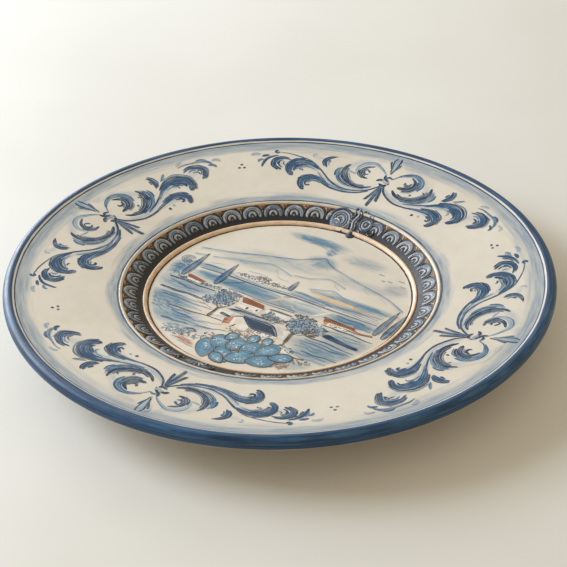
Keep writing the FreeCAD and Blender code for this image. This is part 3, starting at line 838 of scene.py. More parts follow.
def underside_z(r):
    """Height of the glazed underside, with faint throwing rings."""
    r = np.asarray(r, float)
    rim = front_z(np.minimum(r, LIP_TURN_R)) - SECTION + 0.02 * ramp(r - LIP_TURN_R, 1.0)
    wall_foot = WELL_R + 2.5
    join = RIM_INNER_R + 1.0
    slope = (float(front_z(join)) - SECTION - UNDERSIDE_Z) / (join - wall_foot)
    wall = UNDERSIDE_Z + slope * ramp(r - wall_foot, 1.5)
    z = np.minimum(wall, rim)
    return z + 0.05 * np.sin(r / 1.9) * smoothstep(82, 96, r) * smoothstep(152, 140, r)


def back_coat():
    """Glaze under the rim and wall, and inside the foot ring."""
    radii = spaced((FOOT_OUTER_R, 78, 1.5), (78, 98, 0.8), (98, 148, 1.2), (148, LIP_CENTRE_R, 1.0))
    flat = np.column_stack([radii, underside_z(radii)])
    lowest = math.asin((BAND_LOWER_Z - LIP_CENTRE_Z) / (LIP_CENTRE_Z - LIP_BOTTOM_Z))
    angles = np.linspace(-math.pi / 2, lowest, 10)
    reach = LIP_R - LIP_CENTRE_R
    drop = LIP_CENTRE_Z - LIP_BOTTOM_Z
    roll = np.column_stack([LIP_CENTRE_R + reach * np.cos(angles), LIP_CENTRE_Z + drop * np.sin(angles)])
    roll_back = np.column_stack([
        LIP_CENTRE_R + (reach - COAT) * np.cos(angles),
        LIP_CENTRE_Z + (drop - COAT) * np.sin(angles)])[::-1]
    back = np.column_stack([radii, underside_z(radii) + COAT])[::-1]
    piece = lathe("back_glaze", np.concatenate([flat, roll, roll_back, back]), BACK_GLAZE, uneven=0.7)
    place(piece, "tin_glaze", "glaze_back")
    recess = spaced((0, FOOT_INNER_R, 3.0))
    lower = np.column_stack([recess, np.full(len(recess), UNDERSIDE_Z)])
    lower = np.append(lower, [[FOOT_INNER_R, UNDERSIDE_Z]], axis=0)
    upper = lower[::-1] + [0, COAT * 0.9]
    piece = lathe("recess_glaze", np.concatenate([lower, upper]), BACK_GLAZE, uneven=0.0)
    place(piece, "tin_glaze", "glaze_recess")


def ribbon(name, inner, outer, material, lift):
    """A flat ring on the plate's upper surface, with soft edges."""
    across = np.linspace(-1, 1, 7)
    radii = (inner + outer) / 2 + across * (outer - inner) / 2
    top = np.column_stack([radii, front_z(radii) + lift * (1 - across**4)])
    under = np.array([[outer, float(front_z(outer)) - 0.03], [inner, float(front_z(inner)) - 0.03]])
    return lathe(name, np.concatenate([top, under]), material)


def line_pieces():
    """The three lines that were turned on the wheel."""
    place(ribbon("rim_pinstripe", PINSTRIPE_R - 0.8, PINSTRIPE_R + 0.8, PINSTRIPE, 0.04), "cobalt",
          "rim_pinstripe")
    place(ribbon("well_line", RIM_INNER_R - 0.2, RIM_INNER_R + 1.4, WELL_LINE, 0.04), "cobalt", "well_line")
    place(ribbon("bead_line", WELL_R - 1.2, WELL_R + 0.5, FOOT_LINE, 0.05), "manganese", "bead_line")


def moulding(name, middle, half, rise, material):
    """Half-round moulding turned on the wall."""
    angles = np.linspace(0, math.pi, 13)
    radii = middle - half * np.cos(angles)
    top = np.column_stack([radii, front_z(radii) + rise * np.sin(angles) ** 0.8])
    under = np.array([[middle + half, float(front_z(middle + half)) - 0.2],
                      [middle - half, float(front_z(middle - half)) - 0.2]])
    return lathe(name, np.concatenate([top, under]), material)


def mouldings():
    place(moulding("head_moulding", MOULDING_R, MOULDING_HALF, MOULDING_RISE, CREAM_MOULDING),
          "cream_relief", "head_moulding")
    place(moulding("foot_bead", BEAD_R, BEAD_HALF, BEAD_RISE, OCHRE_MOULDING), "cream_relief", "foot_bead")


# ---- frieze on the well's wall ----
ARCH_MIDDLE_R = 83.7
LEFT_GAPS = [-12.8 - 8.84 * step for step in range(19)]
RIGHT_GAPS = [15.2 + 9.35 * step for step in range(17)]


def arch_angles():
    """Middles of the arches: one between each two gaps, and one beside the top ornament on each side."""
    for gaps in (LEFT_GAPS, RIGHT_GAPS):
        step = gaps[1] - gaps[0]
        yield gaps[0] - step / 2
        for gap in gaps[:-1]:
            yield gap + step / 2


def horseshoe(radius, rise, width, feet=1.6):
    """Points of a round-headed arch that stands on the frieze's lower edge."""
    angles = np.linspace(-0.12 * math.pi, 1.12 * math.pi, 13)
    x = radius * np.cos(angles)
    y = ARCH_MIDDLE_R + rise * np.sin(angles)
    taper = np.minimum(1, 0.55 + 0.45 * np.sin(np.linspace(0, math.pi, 13)) * feet)
    return list(zip(x, y, width * taper))


def frieze():
    """Dark ground, arches, their pearls and the darts between them."""
    radii = np.linspace(FRIEZE_INNER_R - 0.3, FRIEZE_OUTER_R + 0.4, 9)
    top = np.column_stack([radii, front_z(radii) + 0.1])
    under = np.column_stack([radii[::-4], front_z(radii[::-4]) - 0.1])
    place(lathe("frieze_ground", np.concatenate([top, under]), FRIEZE_GROUND), "manganese", "frieze_ground")

    arches = Paint(thick=0.5)
    pearls = Paint(thick=0.45)
    for number, angle in enumerate(arch_angles()):
        blue = (GREY_BLUE, STEEL_BLUE, GREY_BLUE, STONE_BLUE)[number * 3 % 4]
        arches.turned(angle)
        arches.line(blue, horseshoe(4.75, 4.7, 3.0), 0.95, thick=0.55)
        arches.line(SLATE, horseshoe(4.4, 4.4, 0.8), 0.6, thick=0.6)
        pearls.turned(angle)
        pearls.line(STONE_BLUE, horseshoe(1.9, 2.1, 1.8), 0.95)
        pearls.dot((STEEL_BLUE, UMBER)[number % 2], 0, ARCH_MIDDLE_R - 0.6, 1.8, 0.7)
    place(arches.build("frieze_arches", ARCH_ENAMEL), "grey_blue", "frieze_arches")
    place(pearls.build("frieze_pearls", ARCH_ENAMEL), "grey_blue", "frieze_pearls")

    darts = Paint(thick=0.3, layer=2)
    for angle in LEFT_GAPS + RIGHT_GAPS:
        darts.turned(angle)
        darts.blob(OCHRE, [(-2.3, 90.0), (0, 90.1), (2.3, 90.0), (0.8, 88.6), (0, 87.4), (-0.8, 88.6)],
                   0.35)
        darts.dot(MANGANESE, 0, 88.9, 1.3, 1.0, thick=0.5)
        darts.line(MANGANESE, [(0, 88.0, 1.0), (0, 84.4, 0.5)], 1.0, thick=0.25)
    place(darts.build("frieze_darts", ARCH_ENAMEL), "ochre", "frieze_darts")


def scroll_curl(piece, ink, x, y, radius, width, start, turns, count=10, rise=0.8, tighten=0.72):
    """A spiral of relief round x, y that tightens towards its eye; angles in degrees, anticlockwise."""
    points = []
    for step in range(count):
        share = step / (count - 1)
        angle = math.radians(start + turns * 360 * share)
        reach = radius * (1 - tighten * share)
        points.append((x + reach * math.cos(angle), y + reach * math.sin(angle), width * (1 - 0.5 * share)))
    piece.line(ink, points, 1.0, thick=rise)


def top_cartouche():
    """Curled shell, twisted rib and rosette at the top of the frieze, with a drop below."""
    shell = Paint(thick=0.7, layer=3, scale=1.18, pivot=(0.0, 83.5))
    shell.turned(0.0)
    shell.blob(SLATE, [(-12.5, 88), (-7, 90.6), (0, 91), (7, 90.4), (13.5, 87.5), (12.5, 81), (6, 77.8),
                       (0, 77), (-6, 76.6), (-11, 78.8), (-13.6, 83)], 0.9, thick=0.35)
    # the pale rings, rib, rosette ring and curl are painted highlights on the shell's ridges
    for reach, ink, width in (
            (6.2, SLATE, 1.7), (4.8, PALE_STONE_HIGHLIGHT, 1.2), (3.5, STEEL_BLUE, 1.3), (2.0, PALE_STONE_HIGHLIGHT, 1.3)):
        arc = [(-7.2 + reach * math.cos(a), 83.2 + reach * 1.02 * math.sin(a), width)
               for a in np.linspace(-1.15, 3.1, 11)]
        shell.line(ink, arc, 1.0, thick=0.9)
    shell.blob(STEEL_BLUE, [(-12.6, 82.5), (-9.5, 84), (-6.4, 82.8), (-4.6, 80), (-6.5, 77.6), (-10, 77.8)],
               0.8, thick=1.0)
    # a faint pale line along the top of the curl: a painted highlight
    shell.line(WHITE_SLIP, [(-10.8, 82.4, 0.5), (-8.4, 83.0, 0.8), (-6.4, 81.8, 0.5)], 0.2, thick=1.1)
    for bend, ink in ((-1.6, SLATE), (0.3, PALE_STONE_HIGHLIGHT), (2.0, SLATE)):
        shell.line(ink, [(bend - 0.6, 91.5, 0.9), (bend + 0.7, 88, 1.3), (bend - 0.5, 84.4, 1.4),
                         (bend + 0.6, 80.6, 1.3), (bend, 77.4, 0.9)], 1.0, thick=1.0)
    for reach, ink, width in ((3.4, SLATE, 1.2), (2.2, PALE_STONE_HIGHLIGHT, 1.2)):
        ring = [(7.6 + reach * math.cos(a), 84.4 + reach * math.sin(a), width) for a in np.linspace(
            0.4, 6.6, 13)]
        shell.line(ink, ring, 1.0, thick=0.9)
    shell.dot(STEEL_BLUE, 7.6, 84.4, 2.2, 0.7, thick=1.1)
    scroll_curl(shell, SLATE, 11.4, 80.6, 2.3, 1.2, 60, -0.8)
    scroll_curl(shell, PALE_STONE_HIGHLIGHT, 4.6, 79.6, 2.0, 1.0, 200, 0.8)
    scroll_curl(shell, STEEL_BLUE, -1.5, 91.4, 2.0, 1.3, -60, 0.8, rise=0.8)
    scroll_curl(shell, GREY_BLUE, 4.0, 91.0, 1.8, 1.2, 240, -0.8, rise=0.8)
    scroll_curl(shell, STEEL_BLUE, 8.6, 89.0, 1.6, 1.1, 200, -0.7, rise=0.8)
    shell.blob(SLATE, [(1.6, 80.0), (4.3, 77.4), (4.2, 75.6), (2.2, 74.4), (0.0, 75.8), (-0.4, 78.2)], 1.0,
               thick=0.8)
    shell.blob(STONE_BLUE, [(1.7, 78.0), (3.1, 77.0), (3.0, 76.2), (2.0, 75.8), (0.9, 76.8)], 0.5,
               thick=0.9)
    shell.line(SLATE, [(1.4, 80.4, 3.0), (1.9, 77.6, 2.6), (2.3, 75.4, 2.2)], 1.0, thick=1.6)
    place(shell.build("cartouche_top", SHELL_ENAMEL), "cobalt", "cartouche_top")


def bottom_cartouche():
    """A smaller shell with two curls at the foot of the frieze."""
    shell = Paint(thick=0.7, layer=3)
    shell.turned(180.0)
    shell.blob(SLATE, [(-11, 87.6), (-5, 90), (5, 90), (11, 87.6), (9, 81.5), (0, 79.5), (-9, 81.5)], 0.9,
               thick=0.3)
    # the pale rays on either side are painted highlights on those ridges
    for spread in (-56, -34, -12, 12, 34, 56):
        angle = math.radians(90 + spread)
        tip = (7.6 * math.cos(angle), 81.2 + 7.6 * math.sin(angle))
        middle = (4.2 * math.cos(angle), 81.2 + 4.2 * math.sin(angle))
        shell.line((STEEL_BLUE, PALE_STONE_HIGHLIGHT)[abs(spread) % 3 % 2],
                   [(0, 81.2, 0.8), (*middle, 1.8), (*tip, 1.6)], 0.9, thick=0.8)
    for side in (-1, 1):
        scroll_curl(shell, SLATE, side * 9.4, 84.4, 2.4, 1.3, 90, -side * 0.8)
        scroll_curl(shell, STEEL_BLUE, side * 5.4, 80.6, 1.7, 1.0, 90, side * 0.8)
    place(shell.build("cartouche_bottom", SHELL_ENAMEL), "cobalt", "cartouche_bottom")


# ---- sprays on the rim ----
# Each stroke is a tone and its (x, y, width) points; +Y points outwards from the plate's middle.
TONES = {
    "dark": (DEEP_COBALT, 1.08, 0.14),
    "blue": (COBALT, 1.1, 0.16),
    "mid": (MID_BLUE, 0.98, 0.25),
    "pale": (PALE_BLUE, 0.75, 0.4),
    "wash": (PALE_BLUE, 0.50, 0.7),
    "haze": (PALE_BLUE, 0.30, 0.95),
}

LEFT_HALF = [
    # hazes and washes under the scroll
    ("haze", [(-10, 138, 7), (-20, 136, 9), (-27, 130, 8), (-31, 122, 7)]),
    ("haze", [(-60, 112, 11), (-70, 109, 10)]), ("haze", [(-54, 128, 5), (-49, 126.5, 6), (-46, 127.5, 4)]),
    ("haze", [(-15, 142, 3), (-12, 141.5, 4.5), (-9, 141.6, 3)]),
    ("wash", [(-2, 118, 1.5), (-6.5, 113, 4), (-13, 110, 5), (-22, 108, 5.5), (-31, 108.5, 5),
              (-38, 111, 4), (-44, 114.6, 3.5)]),
    ("wash", [(-30.5, 126, 2), (-31, 120.5, 4), (-28, 114.6, 5), (-22, 111.2, 4.5), (-14, 110.8, 3)]),
    ("wash", [(-44, 114.5, 3), (-50, 116.5, 6), (-56, 115.5, 8), (-59, 111, 6), (-58.5, 107, 4)]),
    ("wash", [(-30, 106.5, 3), (-38, 107.5, 5), (-44.5, 105.8, 6), (-46, 101.5, 5), (-43.5, 97.6, 3)]),
    # the inner volute
    ("pale", [(-0.5, 126, 0.8), (-3, 130.5, 1.4), (-8, 134.5, 2.2), (-14, 136.8, 2.8), (-19.5, 134, 3.2),
              (-22, 129.5, 3.2), (-21, 124.5, 2.2)]),
    ("mid",
     [(-3, 131, 0.5), (-8.5, 135.6, 0.7), (-14.5, 138.0, 0.8), (-20.5, 135.2, 0.8), (-23.3, 129.5, 0.7)]),
    ("dark", [(-12.5, 134.8, 0.9), (-17, 132, 1.8), (-19, 128, 2.1), (-18, 124.5, 1.9), (-14.5, 122.3, 1.6),
              (-11.5, 122.6, 1.1)]),
    ("blue", [(-17.5, 128, 0.8), (-15.5, 125.5, 1.2), (-13, 126.5, 0.8)]),
    ("blue", [(-16.5, 130.4, 0.7), (-14.2, 129.2, 1.3), (-13.2, 127.6, 0.8)]),
    # the lower C with its companions
    ("dark", [(-28, 130.5, 0.9), (-29.3, 127, 2.0), (-29, 122, 2.5), (-26.5, 117.5, 2.5), (-21.5, 114, 1.9),
              (-15.5, 112.5, 1.7), (-9.5, 113.8, 1.9), (-5.5, 116.5, 1.0)]),
    ("mid", [(-31.5, 126, 0.7), (-32.3, 121.5, 1.8), (-30.2, 116.5, 2.2), (-26.0, 112.6, 1.8),
             (-20.5, 110.4, 1.0)]),
    ("blue", [(-33.0, 124.5, 0.6), (-33.6, 120.5, 1.2), (-32, 116.0, 1.1)]),
    ("blue", [(-26.0, 121.5, 0.6), (-25.4, 118.6, 1.0), (-22.4, 116.2, 0.8), (-18.5, 114.6, 0.5)]),
    ("dark", [(-30.4, 119.2, 0.5), (-28.6, 115.4, 0.7), (-24.4, 112.4, 0.6), (-18, 110.4, 0.5)]),
    ("pale", [(-27, 124.5, 1.4), (-22.5, 123.5, 2.0), (-20, 124, 1.4)]),
    # the two stems
    ("dark", [(0, 121, 1.0), (-2.5, 116.5, 1.1), (-6.5, 112.2, 1.1), (-12, 109, 1.1), (-20, 107, 1.2),
              (-27, 108, 1.2), (-33, 110.5, 1.1), (-39, 114.5, 1.1), (-43.5, 117.2, 1.2), (-50, 119.4, 1.2),
              (-56, 119.9, 1.1)]),
    ("blue", [(-5, 112, 1.0), (-11, 107.5, 1.3), (-19, 104.8, 1.4), (-27, 104.2, 1.4), (-34, 105.6, 1.6),
              (-40, 107.8, 1.8), (-45, 109.4, 1.2)]),
    ("mid",
     [(-14, 108.0, 0.5), (-22, 106.0, 0.9), (-30, 106.6, 1.0), (-37, 109.8, 0.9), (-43, 113.4, 0.6)]),
    # the great leaf
    ("blue", [(-43, 116.4, 1.0), (-49, 118.4, 2.6), (-55, 118.6, 3.6), (-59.6, 115.4, 3.8),
              (-61.2, 110.6, 3.2), (-59.4, 106.2, 2.4), (-56, 105, 1.6)]),
    ("dark", [(-44, 118, 0.6), (-50, 120.4, 0.9), (-56.5, 120.2, 1.0), (-61.4, 116.8, 1.1),
              (-63.0, 111.4, 1.1), (-61.6, 106.2, 1.2), (-57.6, 103.6, 1.6), (-55.4, 104.4, 1.2)]),
    ("dark", [(-52, 117.6, 0.7), (-56.4, 115.2, 1.4), (-58.2, 110.8, 1.4), (-57.0, 107.4, 0.8)]),
    ("mid", [(-46, 115.6, 0.6), (-51.4, 115.6, 1.2), (-54.8, 113.0, 1.2), (-55.2, 110.4, 0.6)]),
    ("blue", [(-55, 110.5, 1.2), (-53, 111.5, 0.8), (-52.4, 110.2, 0.6)]),
    ("blue", [(-44, 118, 0.5), (-52, 121.5, 0.7), (-60, 121.8, 0.8), (-68, 121, 0.7), (-75, 119, 0.5)]),
    # the lower leaf
    ("blue", [(-30, 105.8, 1.0), (-37, 108.0, 2.6), (-43.5, 107.8, 3.4), (-47.4, 104.4, 3.2),
              (-47.4, 100.0, 2.6), (-43, 96.0, 1.4)]),
    ("dark", [(-34, 107.8, 0.6), (-41, 110.2, 0.9), (-46.6, 108.6, 1.1), (-49.4, 104.0, 1.1),
              (-48.6, 98.8, 1.3), (-44.2, 95.2, 1.5), (-42, 95.6, 1.0)]),
    ("dark", [(-44, 105.5, 0.6), (-45.5, 102, 1.1), (-43.2, 99.6, 1.2), (-41.2, 101.2, 1.6)]),
    ("dark", [(-48.6, 105.4, 1.2), (-50.6, 103.4, 1.2), (-50.2, 101.6, 0.7)]),
    ("mid", [(-36, 105.4, 0.6), (-41, 105.4, 0.8), (-43.4, 103.6, 0.6)]),
    # the outer C leaf and its dabs
    ("blue", [(-64, 116.2, 0.8), (-69.2, 115.2, 2.0), (-72.6, 111, 2.8), (-70.8, 106.4, 2.4),
              (-64.6, 104.6, 1.4)]),
    ("dark", [(-66, 117.2, 0.5), (-71.0, 116.0, 0.9), (-74.4, 111.2, 1.0), (-72.4, 105.4, 1.1),
              (-66.4, 103.4, 1.4)]),
    ("dark", [(-70, 112, 0.6), (-68.5, 108, 1.0), (-65, 106.6, 0.7)]),
    ("mid", [(-67.6, 113.0, 0.7), (-66.6, 110.4, 0.9), (-64.6, 109.6, 0.6)]),
    ("blue", [(-76.4, 120.4, 1.3), (-77.2, 118.4, 1.6), (-75.4, 117.6, 1.3), (-74.8, 119.6, 1.0)]),
    ("blue",
     [(-73.5, 116, 0.9), (-76.4, 113, 1.5), (-78.2, 109, 1.8), (-77.8, 104, 1.6), (-76.8, 100.6, 0.9)]),
    ("blue", [(-78.4, 113.4, 1.0), (-80.6, 111.6, 1.9), (-82.4, 109.4, 1.1)]),
    ("mid", [(-79.4, 108.0, 1.2), (-81.6, 105.8, 1.8), (-81.2, 103.4, 1.0)]),
    ("pale", [(-84.0, 111, 2.0), (-87.4, 109.4, 3.0), (-88.8, 106.6, 1.6)]),
    # the sprig above
    ("blue", [(-40, 132, 0.7), (-43.5, 129, 2.2), (-44, 125, 2.2), (-40.5, 120.5, 0.9)]),
    ("dark", [(-38.6, 132.8, 0.6), (-42.6, 131.2, 1.0), (-45.6, 127.6, 1.0), (-45.2, 123.6, 0.8),
              (-42.2, 120.6, 0.6)]),
    ("mid", [(-41, 127.4, 0.6), (-41.6, 124.8, 0.8), (-39.8, 122.6, 0.5)]),
    ("pale", [(-52.6, 129.4, 1.0), (-54.2, 127.4, 1.4), (-52.4, 125.4, 1.0)]),
]

RIGHT_HALF = [
    ("haze", [(10, 138, 6), (19, 136, 8), (26, 129, 8), (33, 121, 7)]),
    ("haze", [(56, 111, 11), (72, 109, 10)]), ("haze", [(5, 141, 3), (8, 140, 4), (12, 140.4, 3)]),
    ("wash", [(2.5, 118, 1.5), (6, 114, 4), (12, 110.6, 5), (20, 109.2, 5), (30, 110.4, 5), (40, 113, 4.5),
              (48, 115.4, 3)]),
    ("wash", [(33, 127, 2), (33.4, 120, 4), (30, 114.6, 5), (23, 111.4, 4.5), (15, 111.6, 3)]),
    ("wash", [(40, 112, 4), (48, 113.8, 7), (55, 112, 8), (57.6, 107.6, 6), (55.6, 103.6, 3)]),
    ("wash", [(28, 106.4, 3), (36, 106, 5), (43, 103, 6), (45, 99, 4), (43.6, 96.6, 2)]),
    ("mid", [(3, 127, 0.6), (6, 131.5, 0.9), (11, 134.6, 1.6), (15.5, 135.6, 2.4), (20.4, 133, 3.2),
             (22.6, 128, 3.4), (20.8, 123.2, 2.4)]),
    ("blue", [(5.6, 132.2, 0.5), (11, 136.2, 0.8), (17, 136.9, 0.9), (22.4, 133.4, 0.9), (24.4, 127.8, 0.8),
              (22.6, 122.6, 0.8)]),
    ("dark", [(14, 134, 0.8), (18, 130.5, 2.0), (19, 126.5, 2.6), (17, 123, 2.6), (13, 121.8, 2.4),
              (9.5, 121.6, 1.6)]),
    ("dark", [(17, 129, 0.8), (15.5, 126, 1.4), (12.8, 126.2, 1.4), (12.4, 128.2, 0.8)]),
    ("blue", [(21.0, 131.4, 0.6), (21.2, 127.6, 1.0), (19.6, 124.4, 0.7)]),
    ("dark", [(8, 118.5, 0.9), (11.5, 114.8, 1.9), (17, 112.4, 2.2), (23, 113, 2.4), (28, 116, 2.5),
              (31.3, 120.5, 2.4), (31.5, 125, 1.9), (30.6, 128.8, 1.0)]),
    ("mid",
     [(33.8, 125.4, 0.7), (34.6, 120.4, 1.8), (32.2, 115.6, 2.2), (27.6, 112.2, 2.0), (20, 110.6, 1.2)]),
    ("blue", [(36.0, 123.6, 0.6), (36.2, 119.6, 1.1), (34.2, 115.6, 0.9)]),
    ("blue", [(26.5, 123.6, 0.7), (28.8, 121.4, 1.2), (28.0, 118.6, 1.0), (24.6, 116.0, 0.6)]),
    ("dark", [(32.4, 118.6, 0.5), (29.4, 114.2, 0.7), (24, 111.6, 0.6), (17, 111.2, 0.5)]),
    ("dark", [(1, 120.5, 1.0), (4, 114.5, 1.2), (8.5, 110.5, 1.2), (15, 107, 1.2), (24, 106.0, 1.2),
              (32, 107.0, 1.0)]),
    ("blue", [(20, 109, 0.8), (30, 111, 1.1), (40, 114.6, 1.2), (47, 117.4, 1.0)]),
    ("blue", [(34, 111.6, 1.2), (42, 115.0, 2.6), (49.5, 116.0, 3.6), (55.6, 113.6, 4.2),
              (58.8, 108.8, 3.6), (57.8, 104.4, 2.6), (54, 102, 1.5)]),
    ("dark", [(41, 116.6, 0.6), (49, 118.6, 1.0), (56.6, 116.8, 1.2), (61.2, 111.0, 1.2),
              (60.4, 104.8, 1.4), (56.0, 101.2, 1.8), (53.4, 101.8, 1.2)]),
    ("dark", [(50, 114, 0.8), (54.4, 111.6, 1.5), (56.4, 107.6, 1.4), (54.8, 105.2, 0.7)]),
    ("mid", [(44, 113.4, 0.6), (48.6, 112.6, 1.0), (51.6, 109.8, 1.1), (50.6, 107.8, 0.6)]),
    ("blue", [(24, 106, 1.0), (33, 106.8, 2.2), (40.6, 106.2, 3.2), (45.6, 102.4, 3.2), (46.4, 98.4, 2.4),
              (43.4, 95.4, 1.4)]),
    ("dark", [(34, 108.4, 0.6), (42, 107.8, 1.0), (47.4, 103.6, 1.2), (48.2, 98.4, 1.4), (45.0, 94.8, 1.7),
              (42.6, 95.2, 1.1)]),
    ("dark", [(40.2, 103.6, 0.7), (43.4, 101.4, 1.4), (42.6, 98.8, 1.3), (40.6, 99.8, 0.9)]),
    ("dark", [(47.2, 104.6, 1.3), (49.4, 102.6, 1.4), (49.6, 100.4, 0.8)]),
    ("blue", [(64.4, 115.0, 0.8), (69.6, 115.0, 2.0), (74, 111.4, 2.8), (75.0, 106.8, 2.4),
              (71, 103.4, 2.0), (67, 101.8, 1.2)]),
    ("dark", [(66.4, 116.8, 0.5), (71.6, 116.2, 0.9), (76.2, 112.0, 1.1), (77.0, 106.2, 1.1),
              (72.2, 102.0, 1.5), (68.4, 100.8, 1.0)]),
    ("dark", [(68, 110.6, 0.6), (71, 108.4, 1.1), (70, 105.4, 0.8)]),
    ("mid", [(66.6, 112.6, 0.6), (69.8, 112.4, 1.2), (72.0, 110.0, 0.8)]),
    ("mid", [(66, 120.8, 0.5), (70.4, 119.8, 0.9), (75.4, 116.8, 1.2), (80.2, 113.6, 1.8),
             (82.8, 109.8, 1.9), (83.2, 105.4, 1.0)]),
    ("blue", [(78.6, 116.2, 0.8), (81.6, 114.4, 1.5), (83.8, 111.2, 0.9)]),
    ("blue", [(80.4, 107.4, 0.9), (82.6, 104.4, 1.7), (81.8, 101.8, 0.9)]),
    ("pale", [(66.6, 122.4, 1.4), (69.4, 123.4, 2.2), (72.6, 122.4, 1.4)]),
    ("pale", [(85.6, 108.6, 1.4), (88.4, 106.2, 2.4), (88.2, 103.4, 1.4)]),
    ("blue", [(41.5, 119.5, 0.9), (44.4, 122.6, 2.6), (45.6, 127.2, 2.2), (44.5, 130.6, 1.0)]),
    ("dark", [(43.2, 119.4, 0.6), (46.8, 122.6, 0.9), (47.6, 127.2, 0.9), (46.0, 130.8, 0.8)]),
    ("mid", [(48.6, 121.4, 0.7), (52, 122.6, 1.6), (55.6, 124.6, 1.0)]),
    ("dark", [(30.2, 101.6, 1.8), (31.2, 101.2, 2.0), (31.8, 100.8, 1.8)]),
    ("pale", [(34.4, 101.8, 1.4), (35.4, 101.4, 1.8), (36.0, 101.2, 1.4)]),
    ("blue", [(20.0, 118.2, 1.4), (20.8, 118.0, 1.8), (21.4, 117.8, 1.4)]),
]

CENTRE = [
    ("haze", [(-3, 148, 4), (-3, 143, 8), (0, 137, 6)]),
    ("pale", [(-1.6, 147, 1.6), (-2, 143, 3.2), (-1.2, 138, 2.4), (-0.8, 131.5, 0.8)]),
    ("dark", [(-0.6, 148.2, 0.8), (0.0, 144.2, 1.0), (0.2, 139, 0.9), (-0.4, 131.5, 0.7)]),
    ("dark", [(-3.0, 148.2, 0.7), (-4.0, 144.6, 1.0), (-3.2, 140.4, 0.9), (-1.2, 133, 0.7)]),
    ("blue", [(-5.8, 143.6, 1.5), (-4.6, 140.5, 1.2), (-1.8, 135.6, 0.6)]),
    ("blue", [(1.6, 142.2, 1.3), (1.0, 139, 1.1), (-0.2, 134.6, 0.6)]),
    ("dark", [(-5.8, 122.5, 1.4), (-3.6, 124.6, 1.9), (-0.5, 124.0, 1.6)]),
    ("dark", [(-2.6, 130, 0.9), (-1.8, 127, 1.6), (1.2, 124.8, 1.4), (3.2, 121.6, 0.9)]),
    ("dark", [(-3.0, 121.0, 1.3), (0.2, 119.6, 2.0), (2.4, 121.4, 1.4)]),
    ("blue", [(-1.2, 126.8, 0.9), (0.6, 128.6, 1.5), (3.4, 127.6, 0.8)]),
    ("pale", [(-2.4, 124.6, 1.4), (0.8, 122.8, 2.0), (2.8, 124.8, 1.2)]),
    ("blue", [(0, 119.5, 0.7), (0.2, 109, 1.7), (0.2, 98.6, 1.6)]),
    ("dark", [(0.9, 116, 0.4), (1.1, 107, 0.6), (0.9, 98.2, 0.8)]),
    ("blue", [(-0.4, 118.4, 0.7), (-1.8, 111, 1.5), (-3.4, 103.6, 1.5)]),
    ("dark", [(-1.6, 115, 0.4), (-2.8, 109, 0.6), (-4.1, 103.2, 0.7)]),
    ("blue", [(0.6, 118.4, 0.7), (2.4, 111.6, 1.5), (3.6, 104.4, 1.5)]),
    ("dark", [(2.0, 115, 0.4), (3.4, 109.4, 0.6), (4.3, 104.0, 0.7)]),
]

# name, angle of its middle, stretch along the rim, and how much of its slight lean the brush gave it
SPRAY_PLACES = [
    ("spray_top", 0.0, 1.0, 0.0), ("spray_right", 88.8, 1.02, 0.6), ("spray_bottom", 177.9, 0.98, -0.5),
    ("spray_left", 271.1, 1.01, 0.4),
]
DOT_ANGLES = (46, 135, 224, 317)
LOADED_BRUSH = 1.2       # the blue strokes spread this much wider than drawn
LOBED_WIDTH = 2.2        # leaves from this width have lobes


def hand(points, stretch, lean, phase):
    """The same stroke painted again by hand: slightly stretched, leaning and unsteady."""
    x, y, width = np.asarray(points, float).T
    moved_x = x * stretch + lean * np.sin(y / 9 + phase) * 0.8
    moved_y = y + lean * np.sin(x / 17 + phase * 2) * 1.1
    return np.column_stack([moved_x, moved_y, width * (1 + 0.12 * np.sin(x / 5 + phase * 3))])


def lobes(tone, points):
    """The splayed lobes of a broad leaf: shorter strokes that run beside its main one."""
    path = np.asarray(points, float)
    if tone not in ("blue", "dark") or path[:, 2].max() < LOBED_WIDTH:
        return
    ahead = np.gradient(path[:, :2], axis=0)
    ahead /= np.linalg.norm(ahead, axis=1)[:, None]
    side = np.column_stack([-ahead[:, 1], ahead[:, 0]])
    for shift, share, start, ink in (
            (0.74, 0.42, 1, "dark"), (-0.74, 0.36, 2, "blue"), (1.15, 0.24, 2, "mid")):
        part = path[start:]
        beside = part[:, :2] + side[start:] * (part[:, 2:] * shift)
        yield ink, np.column_stack([beside, part[:, 2] * share])[:-1]


def sprays():
    """Four sprays, each painted anew from the same strokes."""
    for number, (name, angle, stretch, lean) in enumerate(SPRAY_PLACES):
        spray = Paint()
        spray.turned(angle)
        for tone, points in LEFT_HALF + RIGHT_HALF + CENTRE:
            drawn = hand(points, stretch, lean, number * 1.7)
            if tone in ("dark", "blue", "mid"):
                drawn[:, 2] *= LOADED_BRUSH
            for shade, stroke in ((tone, drawn), *lobes(tone, drawn)):
                if len(stroke) > 1:
                    ink, density, feather = TONES[shade]
                    spray.line(ink, stroke, density, feather)
        place(spray.build(name, BRUSHED), "cobalt", name)


def dot_trios():
    """Three dots on the rim between each two sprays."""
    dots = Paint()
    for number, angle in enumerate(DOT_ANGLES):
        dots.turned(angle)
        for x, y, size in ((-1.7, 127.3, 2.2), (1.4, 127.0, 2.2), (0.3, 130.2, 2.3)):
            dots.dot(DEEP_COBALT, x + 0.3 * math.sin(number), y, size, 1.0, squash=0.85)
    place(dots.build("dot_trios", BRUSHED), "cobalt", "dot_trios")


# ---- the painted picture ----
# A generic country scene below a smoking mountain, in millimetres from the plate's middle.
PICTURE_SCALE = 0.972    # the drawing was laid out a little too large for the floor


def picture(layer):
    return Paint(layer=layer, scale=PICTURE_SCALE, thick=0.0004, sheet=0.00012)


def finish_picture(paint, name, slot):
    place(paint.build(name, BRUSHED), slot, name)


